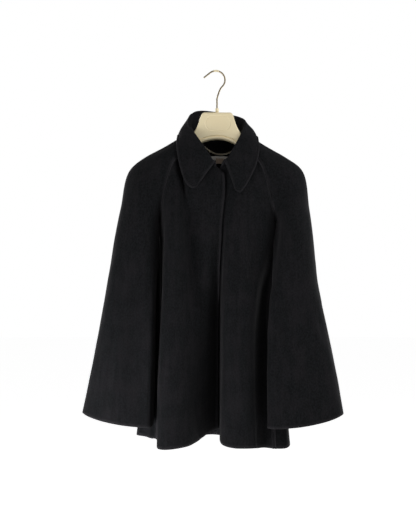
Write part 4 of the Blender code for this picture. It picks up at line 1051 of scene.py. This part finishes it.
stitching, sizes_in, made_out = named_tree("stitches_along_path", "Pitch", "Length", "Thickness")
path = node(stitching, "GeometryNodeMeshToCurve", [("Mesh", sizes_in.outputs["Path"])])
steps = node(stitching, "GeometryNodeResampleCurve",
             [("Curve", path.outputs[0]), ("Length", sizes_in.outputs["Pitch"])], mode="LENGTH")
along = node(stitching, "GeometryNodeInputTangent")
turn = node(stitching, "FunctionNodeAlignRotationToVector", [("Vector", along.outputs[0])],
            axis="Z")
grain = node(stitching, "GeometryNodeMeshUVSphere", Segments=6, Rings=5, Radius=0.5)
round_grain = node(stitching, "GeometryNodeSetShadeSmooth", [("Geometry", grain.outputs[0])])
size = node(stitching, "ShaderNodeCombineXYZ",
            [("X", sizes_in.outputs["Thickness"]), ("Y", sizes_in.outputs["Thickness"]),
             ("Z", sizes_in.outputs["Length"])])
laid = node(stitching, "GeometryNodeInstanceOnPoints",
            [("Points", steps.outputs[0]), ("Instance", round_grain.outputs[0]),
             ("Rotation", turn.outputs[0]), ("Scale", size.outputs[0])])
real = node(stitching, "GeometryNodeRealizeInstances", [("Geometry", laid.outputs[0])])
node(stitching, "GeometryNodeSetMaterial", [("Geometry", real.outputs[0])], Material=thread)
stitching.links.new(stitching.nodes[-1].outputs[0], made_out.inputs[0])


def at_column(grid, place):
    """The line down a grid at a fractional column, counted from the right where it is negative."""
    whole = math.floor(place)
    return grid[:, whole] * (1 - place + whole) + grid[:, whole + 1] * (place - whole)


IN_COLUMN = float(np.interp(STITCH_IN, NEAR_EDGE, range(len(NEAR_EDGE))))
ABOVE_ARM = ARM_ROW - 2  # the raglan's stitching ends just above the underarm
seam_lines = [at_column(outer_faces["front_right"], IN_COLUMN),
              at_column(outer_faces["front_right"], -1 - IN_COLUMN)[:ABOVE_ARM],
              at_column(outer_faces["front_left"], -1 - IN_COLUMN)[:ABOVE_ARM],
              at_column(outer_faces["back"], IN_COLUMN)[:ABOVE_ARM],
              at_column(outer_faces["back"], -1 - IN_COLUMN)[:ABOVE_ARM]]
side_line = at_column(collar_outer, IN_COLUMN), at_column(collar_outer, -1 - IN_COLUMN)
bottom_line = at_column(collar_outer.transpose(1, 0, 2), -1 - IN_COLUMN)
# The collar's row starts where the fall leaves the roll and turns both corners in a curve.
FALL_FIRST_ROW, CORNER_ROWS, CORNER_COLUMNS = 26, 7, 6
lower = slice(FALL_FIRST_ROW, -CORNER_ROWS)
collar_line = np.vstack([side_line[0][lower], bottom_line[CORNER_COLUMNS:-CORNER_COLUMNS],
                         side_line[1][lower][::-1]])
stitches = repeated("topstitching", stitching, seam_lines + [collar_line], Pitch=STITCH_PITCH,
                    Length=STITCH_LENGTH, Thickness=THREAD)
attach(stitches, "root")

# ---------------------------------------------------------------- labels
# Two bare woven labels sewn inside the back neck: a wide white one, its lower part turned under,
# and a small folded one in a warmer cloth that hangs from it.


def woven(name, light, dark, rib):
    """Woven label cloth: ribs across and down, drawn coarse, 2 pi times `rib` metres apart."""
    made, tree, shader = new_material(name, Roughness=0.6, IOR=1.5, Sheen_Weight=0.2)
    place = node(tree, "ShaderNodeTexCoord")
    across = node(tree, "ShaderNodeTexWave", [("Vector", place.outputs["Object"])],
                  bands_direction="Z", Scale=1 / rib / WAVE_RATE, Distortion=0.6)
    down = node(tree, "ShaderNodeTexWave", [("Vector", place.outputs["Object"])],
                bands_direction="X", Scale=1 / rib / WAVE_RATE, Distortion=0.6)
    both = node(tree, "ShaderNodeMath", [(0, across.outputs["Fac"]), (1, down.outputs["Fac"])],
                operation="MULTIPLY")
    tint = node(tree, "ShaderNodeValToRGB", [("Fac", both.outputs[0])])
    tint.color_ramp.elements[0].color, tint.color_ramp.elements[1].color = srgb(dark), srgb(light)
    ribs = node(tree, "ShaderNodeBump", [("Height", both.outputs[0])],
                Strength=0.3, Distance=0.0002)
    tree.links.new(tint.outputs["Color"], shader.inputs["Base Color"])
    tree.links.new(ribs.outputs[0], shader.inputs["Normal"])
    return made


def on_back(x, z, inward):
    """Point at x, z a distance inside the inner face of the back panel."""
    heights, depths = [], []
    for row in grids["back"][:ARM_ROW]:
        order = np.argsort(row[:, 0])
        heights.append(np.interp(x, row[order, 0], row[order, 2]))
        depths.append(np.interp(x, row[order, 0], row[order, 1]))
    return np.array([x, np.interp(-z, -np.array(heights), depths) - CLOTH / 2 - inward, z])


LABEL_WALL, LABEL_ROWS, LABEL_COLUMNS = 0.5, 9, 33
LABEL_BOW, LABEL_RIPPLE, RIPPLE_TURNS = 0.9, 0.3, 21  # bowed inwards; its edge waves, in radians
# label: its solid, centre x, top, bottom, width, distance from the cloth, droop of its right end
Label = namedtuple("Label", "name node x top bottom width inward droop paint")
LABELS = (
    Label("woven_label_wide", "label_main", 4, -196.5, -207, 62, 1.2, 1.0,
          woven("white_woven_satin", "#ffffff", "#f0e9e2", 0.0006)),
    Label("woven_label_small", "label_size", 8.5, -202, -215, 19, 3.4, 0.5,
          woven("warm_woven_taffeta", "#e2cdb9", "#b8a08c", 0.0006)),
)
for label in LABELS:
    rows = []
    for drop in np.linspace(0, 1, LABEL_ROWS):
        z = label.top + (label.bottom - label.top) * drop
        line = []
        inward = label.inward + LABEL_BOW * math.sin(math.pi * drop) ** 2
        for share in np.linspace(-0.5, 0.5, LABEL_COLUMNS):
            point = on_back(label.x + share * label.width, LABELS[0].top, inward)
            ripple = LABEL_RIPPLE * math.sin(share * RIPPLE_TURNS)
            point[2] = z - label.droop * max(share, 0) * 2 - ripple
            line.append(point)
        rows.append(line)
    cloth = np.array(rows)
    wall = np.array([0, LABEL_WALL / 2, 0])
    sewn = wall_piece(label.name, cloth - wall, cloth + wall, label.paint)
    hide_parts(label.node)
    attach(sewn, "root")

# ---------------------------------------------------------------- hanging chain
# The loop that a coat hangs by: a short curb chain of plated brass wire between two tape tabs.

brass, tree, shader = new_material("plated_brass_wire", Base_Color=srgb("#e0d8c4"), Metallic=1.0,
                                   Roughness=0.42)
# The plating is rubbed dull in patches a few links long.
dull = node(tree, "ShaderNodeTexNoise",
            [("Vector", node(tree, "ShaderNodeTexCoord").outputs["Object"])], Scale=1 / 0.006)
rub = node(tree, "ShaderNodeMapRange", [("Value", dull.outputs["Fac"])], To_Min=0.3, To_Max=0.55)
tree.links.new(rub.outputs[0], shader.inputs["Roughness"])

CHAIN_ENDS = ((-30, -174), (48, -179))
CHAIN_DIP = (7, -192.5)
CHAIN_IN, CHAIN_POINTS, CHAIN_EVENED = 5.2, 41, 9  # off the back; its depth is evened over points
LINK_TURNS = (35, 125)  # degrees about the chain's line, every second link
LINK_LENGTH, LINK_WIDTH, LINK_WIRE, LINK_PITCH = 4.6, 3.6, 0.62, 2.9

linking, sizes_in, made_out = named_tree("chain_links", "Pitch", "Length", "Width", "Wire")
path = node(linking, "GeometryNodeMeshToCurve", [("Mesh", sizes_in.outputs["Path"])])
steps = node(linking, "GeometryNodeResampleCurve",
             [("Curve", path.outputs[0]), ("Length", sizes_in.outputs["Pitch"])], mode="LENGTH")
loop = node(linking, "GeometryNodeCurvePrimitiveCircle", Resolution=10, Radius=0.5)
flat = node(linking, "ShaderNodeCombineXYZ",
            [("X", sizes_in.outputs["Length"]), ("Y", sizes_in.outputs["Width"])], Z=0.001)
oval = node(linking, "GeometryNodeTransform",
            [("Geometry", loop.outputs[0]), ("Scale", flat.outputs[0])])
wire = node(linking, "GeometryNodeCurvePrimitiveCircle", [("Radius", sizes_in.outputs["Wire"])],
            Resolution=5)
link = node(linking, "GeometryNodeCurveToMesh",
            [("Curve", oval.outputs[0]), ("Profile Curve", wire.outputs[0])])
smooth_link = node(linking, "GeometryNodeSetShadeSmooth", [("Geometry", link.outputs[0])])
along = node(linking, "GeometryNodeInputTangent")
turn = node(linking, "FunctionNodeAlignRotationToVector", [("Vector", along.outputs[0])],
            axis="X")
odd = node(linking, "ShaderNodeMath", [(0, node(linking, "GeometryNodeInputIndex").outputs[0])],
           operation="MODULO")
odd.inputs[1].default_value = 2
quarter = node(linking, "ShaderNodeMapRange", [("Value", odd.outputs[0])],
               To_Min=math.radians(LINK_TURNS[0]), To_Max=math.radians(LINK_TURNS[1]))
roll_link = node(linking, "ShaderNodeCombineXYZ", [("X", quarter.outputs[0])])
twisted = node(linking, "FunctionNodeRotateRotation",
               [("Rotation", turn.outputs[0]),
                ("Rotate By", node(linking, "FunctionNodeEulerToRotation",
                                   [(0, roll_link.outputs[0])]).outputs[0])],
               rotation_space="LOCAL")
strung = node(linking, "GeometryNodeInstanceOnPoints",
              [("Points", steps.outputs[0]), ("Instance", smooth_link.outputs[0]),
               ("Rotation", twisted.outputs[0])])
real = node(linking, "GeometryNodeRealizeInstances", [("Geometry", strung.outputs[0])])
node(linking, "GeometryNodeSetMaterial", [("Geometry", real.outputs[0])], Material=brass)
linking.links.new(linking.nodes[-1].outputs[0], made_out.inputs[0])

(x0, z0), (x2, z2) = CHAIN_ENDS
sag = np.polyfit((x0, CHAIN_DIP[0], x2), (z0, CHAIN_DIP[1], z2), 2)
chain_x = np.linspace(x0, x2, CHAIN_POINTS)
depth = np.array([on_back(x, np.polyval(sag, x), CHAIN_IN)[1] for x in chain_x])
depth = np.convolve(np.pad(depth, CHAIN_EVENED // 2, mode="edge"),
                    np.ones(CHAIN_EVENED) / CHAIN_EVENED, mode="valid")
chain_line = np.stack([chain_x, depth, np.polyval(sag, chain_x)], axis=1)
chain = repeated("hanging_chain_links", linking, [chain_line], Pitch=LINK_PITCH,
                 Length=LINK_LENGTH, Width=LINK_WIDTH, Wire=LINK_WIRE)
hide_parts("hanging_chain")
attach(chain, "root")

# The tabs that hold it are black woven tape, ribbed across, the ribs drawn coarse: 5 mm apart.
tape, tree, shader = new_material("black_ribbed_tape", Base_Color=srgb("#151517"), Roughness=0.8)
ribs = node(tree, "ShaderNodeTexWave",
            [("Vector", node(tree, "ShaderNodeTexCoord").outputs["Object"])],
            bands_direction="Z", Scale=1 / 0.0008 / WAVE_RATE)
ridge = node(tree, "ShaderNodeBump", [("Height", ribs.outputs["Fac"])], Strength=0.5,
             Distance=0.0003)
tree.links.new(ridge.outputs[0], shader.inputs["Normal"])


def coated(name, material):
    """Gives a material to a solid that the scene keeps as it is."""
    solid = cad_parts[name].data
    solid.materials.clear()
    solid.materials.append(material)


for name in ("chain_tab_right", "chain_tab_left"):
    coated(name, tape)

# ---------------------------------------------------------------- hanger
# One moulding in ivory polystyrene with a satin skin, hollow shoulders left out, with a bare
# plaque outlined in its middle and a lip along its arch. The mould's skin is faintly pebbled.

ivory, tree, shader = new_material("ivory_moulded_polystyrene", Roughness=0.42, IOR=1.59)
place = node(tree, "ShaderNodeTexCoord")
cloudy = node(tree, "ShaderNodeTexNoise", [("Vector", place.outputs["Object"])], Scale=1 / 0.05)
tint = node(tree, "ShaderNodeValToRGB", [("Fac", cloudy.outputs["Fac"])])
tint.color_ramp.elements[0].color = srgb("#fae8bc")
tint.color_ramp.elements[1].color = srgb("#fff1ca")
tree.links.new(tint.outputs["Color"], shader.inputs["Base Color"])
pebble = node(tree, "ShaderNodeTexNoise", [("Vector", place.outputs["Object"])],
              Scale=1 / 0.0012, Detail=1.0)
skin = node(tree, "ShaderNodeBump", [("Height", pebble.outputs["Fac"])], Strength=0.12,
            Distance=0.0002)
tree.links.new(skin.outputs[0], shader.inputs["Normal"])

# Sections of the moulding by distance from its middle: top, underside, half depth.
Slice = namedtuple("Slice", "x top bottom half_depth")
HANGER_SLICES = (
    Slice(0, -98.8, -163.5, 11), Slice(16, -98.8, -165, 11), Slice(31, -98.8, -169, 11),
    Slice(35.5, -100.2, -171, 11), Slice(38.5, -104.5, -172.5, 11), Slice(42, -117, -174, 11),
    Slice(46, -129, -176.5, 11), Slice(51, -139.5, -179.5, 11), Slice(58, -150, -184, 11),
    Slice(72, -160.5, -192, 11.5), Slice(100, -177, -208, 12.5), Slice(130, -194, -225, 14),
    Slice(158, -210, -241, 15), Slice(176, -222, -250, 14), Slice(187, -232, -254, 11),
    Slice(192, -239, -252, 6),
)
HANGER_X, HANGER_CORNER = 2, 6
PLAQUE_SIZE, PLAQUE_CENTRE = (60, 34), (3.5, -125.5)
PLAQUE_GROOVE, PLAQUE_FLOOR = (0.9, 0.75), 0.3  # groove's depth and half width, sunk floor
LIP_UP, LIP_GROOVE, LIP_ENDS = 8.0, (2.4, 1.5), (46, 60)  # above the arch; where it fades out


def face_depth(x, z, underside):
    """How far the front face is sunk at x, z: the plaque's outline and the line over the lip."""
    radius = PLAQUE_SIZE[1] / 2
    flat_part = PLAQUE_SIZE[0] / 2 - radius
    dx = np.maximum(abs(x - PLAQUE_CENTRE[0]) - flat_part, 0)
    inside = radius - np.hypot(dx, z - PLAQUE_CENTRE[1])
    depth = PLAQUE_GROOVE[0] * np.exp(-((inside / PLAQUE_GROOVE[1]) ** 2))
    depth += PLAQUE_FLOOR / (1 + np.exp(-4 * inside))
    fade = np.interp(abs(x - HANGER_X), LIP_ENDS, (1, 0))
    above = (z - underside - LIP_UP) / LIP_GROOVE[1]
    return depth + fade * LIP_GROOVE[0] * np.exp(-(above**2))


def lofted(name, rings, material):
    """A closed skin over rings of points, with flat ends, faces out."""
    count, size = rings.shape[:2]
    faces = []
    for i in range(count - 1):
        for j in range(size):
            a, b = i * size + j, i * size + (j + 1) % size
            faces.append((a, b, b + size, a + size))
    faces += [tuple(range(size))[::-1], tuple(range((count - 1) * size, count * size))]
    made = add_piece(name, rings.reshape(-1, 3), faces, material)
    outward = bmesh.new()
    outward.from_mesh(made.data)
    bmesh.ops.recalc_face_normals(outward, faces=outward.faces)
    outward.to_mesh(made.data)
    outward.free()
    return made


# Rings of the moulding, on one side of its middle: close where the plaque and the lip are.
CLOSE_TO, END_AT, CLOSE_STEP, WIDE_STEP = 62, 192, 0.75, 3.0
SMOOTHED = np.linspace(-2.5, 2.5, 11)  # each size is the mean over this stretch
CENTRED_TO = 100  # the moulding's middle stands HANGER_X off, less and less up to here
CORNER_TALL, CORNER_DEEP = 0.4, 0.8  # a corner's largest share of the height and half depth
FACE_POINTS = 80
quarter_turn = np.radians(np.linspace(0, 90, 8))
span = np.array([piece.x for piece in HANGER_SLICES], float)
away = np.concatenate([np.arange(0, CLOSE_TO, CLOSE_STEP), np.arange(CLOSE_TO, END_AT, WIDE_STEP),
                       [END_AT]])
profile = {}
for key in ("top", "bottom", "half_depth"):
    values = np.array([getattr(piece, key) for piece in HANGER_SLICES], float)
    profile[key] = np.array([np.interp(abs(x + SMOOTHED), span, values).mean() for x in away])
rings = []
for side, order in ((-1, range(len(away) - 1, 0, -1)), (1, range(len(away)))):
    for i in order:
        top, bottom, deep = (profile[key][i] for key in ("top", "bottom", "half_depth"))
        x = side * away[i] + HANGER_X * max(0, 1 - away[i] / CENTRED_TO)
        corner = min(HANGER_CORNER, (top - bottom) * CORNER_TALL, deep * CORNER_DEEP)
        ring = []
        for cy, cz, start in ((1, 1, 0), (-1, 1, 90), (-1, -1, 180), (1, -1, 270)):
            for a in quarter_turn + math.radians(start):
                ring.append((cy * (deep - corner) + corner * math.cos(a),
                             (top if cz > 0 else bottom) - cz * corner + corner * math.sin(a)))
            if start == 90:
                for z in np.linspace(top - corner, bottom + corner, FACE_POINTS + 2)[1:-1]:
                    ring.append((-deep + face_depth(x, z, bottom), z))
        rings.append([(x, y, z) for y, z in ring])
rings = np.array(rings)
moulding = lofted("moulded_hanger", rings, ivory)
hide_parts("hanger_body")
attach(moulding, "root")
coated("hanger_ferrule", ivory)

# ---------------------------------------------------------------- hook
# Steel wire 3.8 mm thick, bronze plated and a little tarnished, bent cold; its end is rounded.

bronze, tree, shader = new_material("bronze_plated_steel_wire", Metallic=1.0)
place = node(tree, "ShaderNodeTexCoord")
tarnish = node(tree, "ShaderNodeTexNoise", [("Vector", place.outputs["Object"])],
               Scale=1 / 0.009, Detail=3.0)
tint = node(tree, "ShaderNodeValToRGB", [("Fac", tarnish.outputs["Fac"])])
tint.color_ramp.elements[0].color = srgb("#7d7058")
tint.color_ramp.elements[1].color = srgb("#9b8e74")
haze = node(tree, "ShaderNodeMapRange", [("Value", tarnish.outputs["Fac"])],
            To_Min=0.25, To_Max=0.5)
tree.links.new(tint.outputs["Color"], shader.inputs["Base Color"])
tree.links.new(haze.outputs[0], shader.inputs["Roughness"])

HOOK_STEM = ((1.2, -117), (1.2, -98), (1.2, -78), (1.4, -64), (4.0, -55))
HOOK_CENTRE, HOOK_RADIUS, HOOK_ARC, HOOK_TAIL = (-1.7, -20.1), 22, (-46, 128), 18
WIRE_RADIUS, WIRE_SIDES = 1.9, 20
STEM_STEPS = (2, 4, 6, 6, 8)  # rings between the stem's points
DOME_TURNS = (0.5, 1.0, 1.4)  # rings of the rounded end, radians


def on_hook(turns):
    """Points of the hook's round part, x and z, at angles in radians from +X."""
    return np.stack([HOOK_CENTRE[0] + HOOK_RADIUS * np.cos(turns),
                     HOOK_CENTRE[1] + HOOK_RADIUS * np.sin(turns)], axis=1)


arc_turn = np.radians(np.linspace(*HOOK_ARC, 49))
arc = on_hook(arc_turn)
end_way = np.array([-math.sin(arc_turn[-1]), math.cos(arc_turn[-1])])
start_way = np.array([-math.sin(arc_turn[0]), math.cos(arc_turn[0])])
stem = np.array(list(HOOK_STEM) + [arc[0]], float)
at = np.concatenate([[0], np.cumsum(np.linalg.norm(np.diff(stem, axis=0), axis=1))])
slopes = tangents(stem, at)
slopes[-1] = start_way
bend = hermite(stem, at, slopes, stepped(at, STEM_STEPS))
tail = arc[-1] + np.linspace(0, HOOK_TAIL, 7)[1:, None] * end_way


def wire_along(name, line, radius, material, domed):
    """A round closed wire along a line in the x, z plane, its last end rounded if domed."""
    way = unit(np.gradient(line, axis=0))
    across = np.stack([way[:, 1], -way[:, 0]], axis=1)
    stops = [(p, s, w, 1.0, 0.0) for p, s, w in zip(line, across, way)]
    if domed:
        stops += [(line[-1], across[-1], way[-1], math.cos(a), math.sin(a)) for a in DOME_TURNS]
    rings = []
    for point, side, ahead, shrink, push in stops:
        ring = []
        for a in np.linspace(0, 2 * math.pi, WIRE_SIDES, endpoint=False):
            flat = point + side * radius * shrink * math.cos(a) + ahead * radius * push
            ring.append((flat[0], radius * shrink * math.sin(a), flat[1]))
        rings.append(ring)
    return lofted(name, np.array(rings), material)


hook = wire_along("wire_hook", np.vstack([bend[:-1], arc, tail]), WIRE_RADIUS, bronze, True)
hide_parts("hanger_hook")
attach(hook, "root")

# A short ivory sleeve of the hanger's plastic is slipped over the top of the wire.
SLEEVE_TURN, SLEEVE_RADIUS = (71, 104), 2.4
sleeve_line = on_hook(np.radians(np.linspace(*SLEEVE_TURN, 13)))
hook_sleeve = wire_along("hook_sleeve", sleeve_line, SLEEVE_RADIUS, ivory, False)
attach(hook_sleeve, "root")
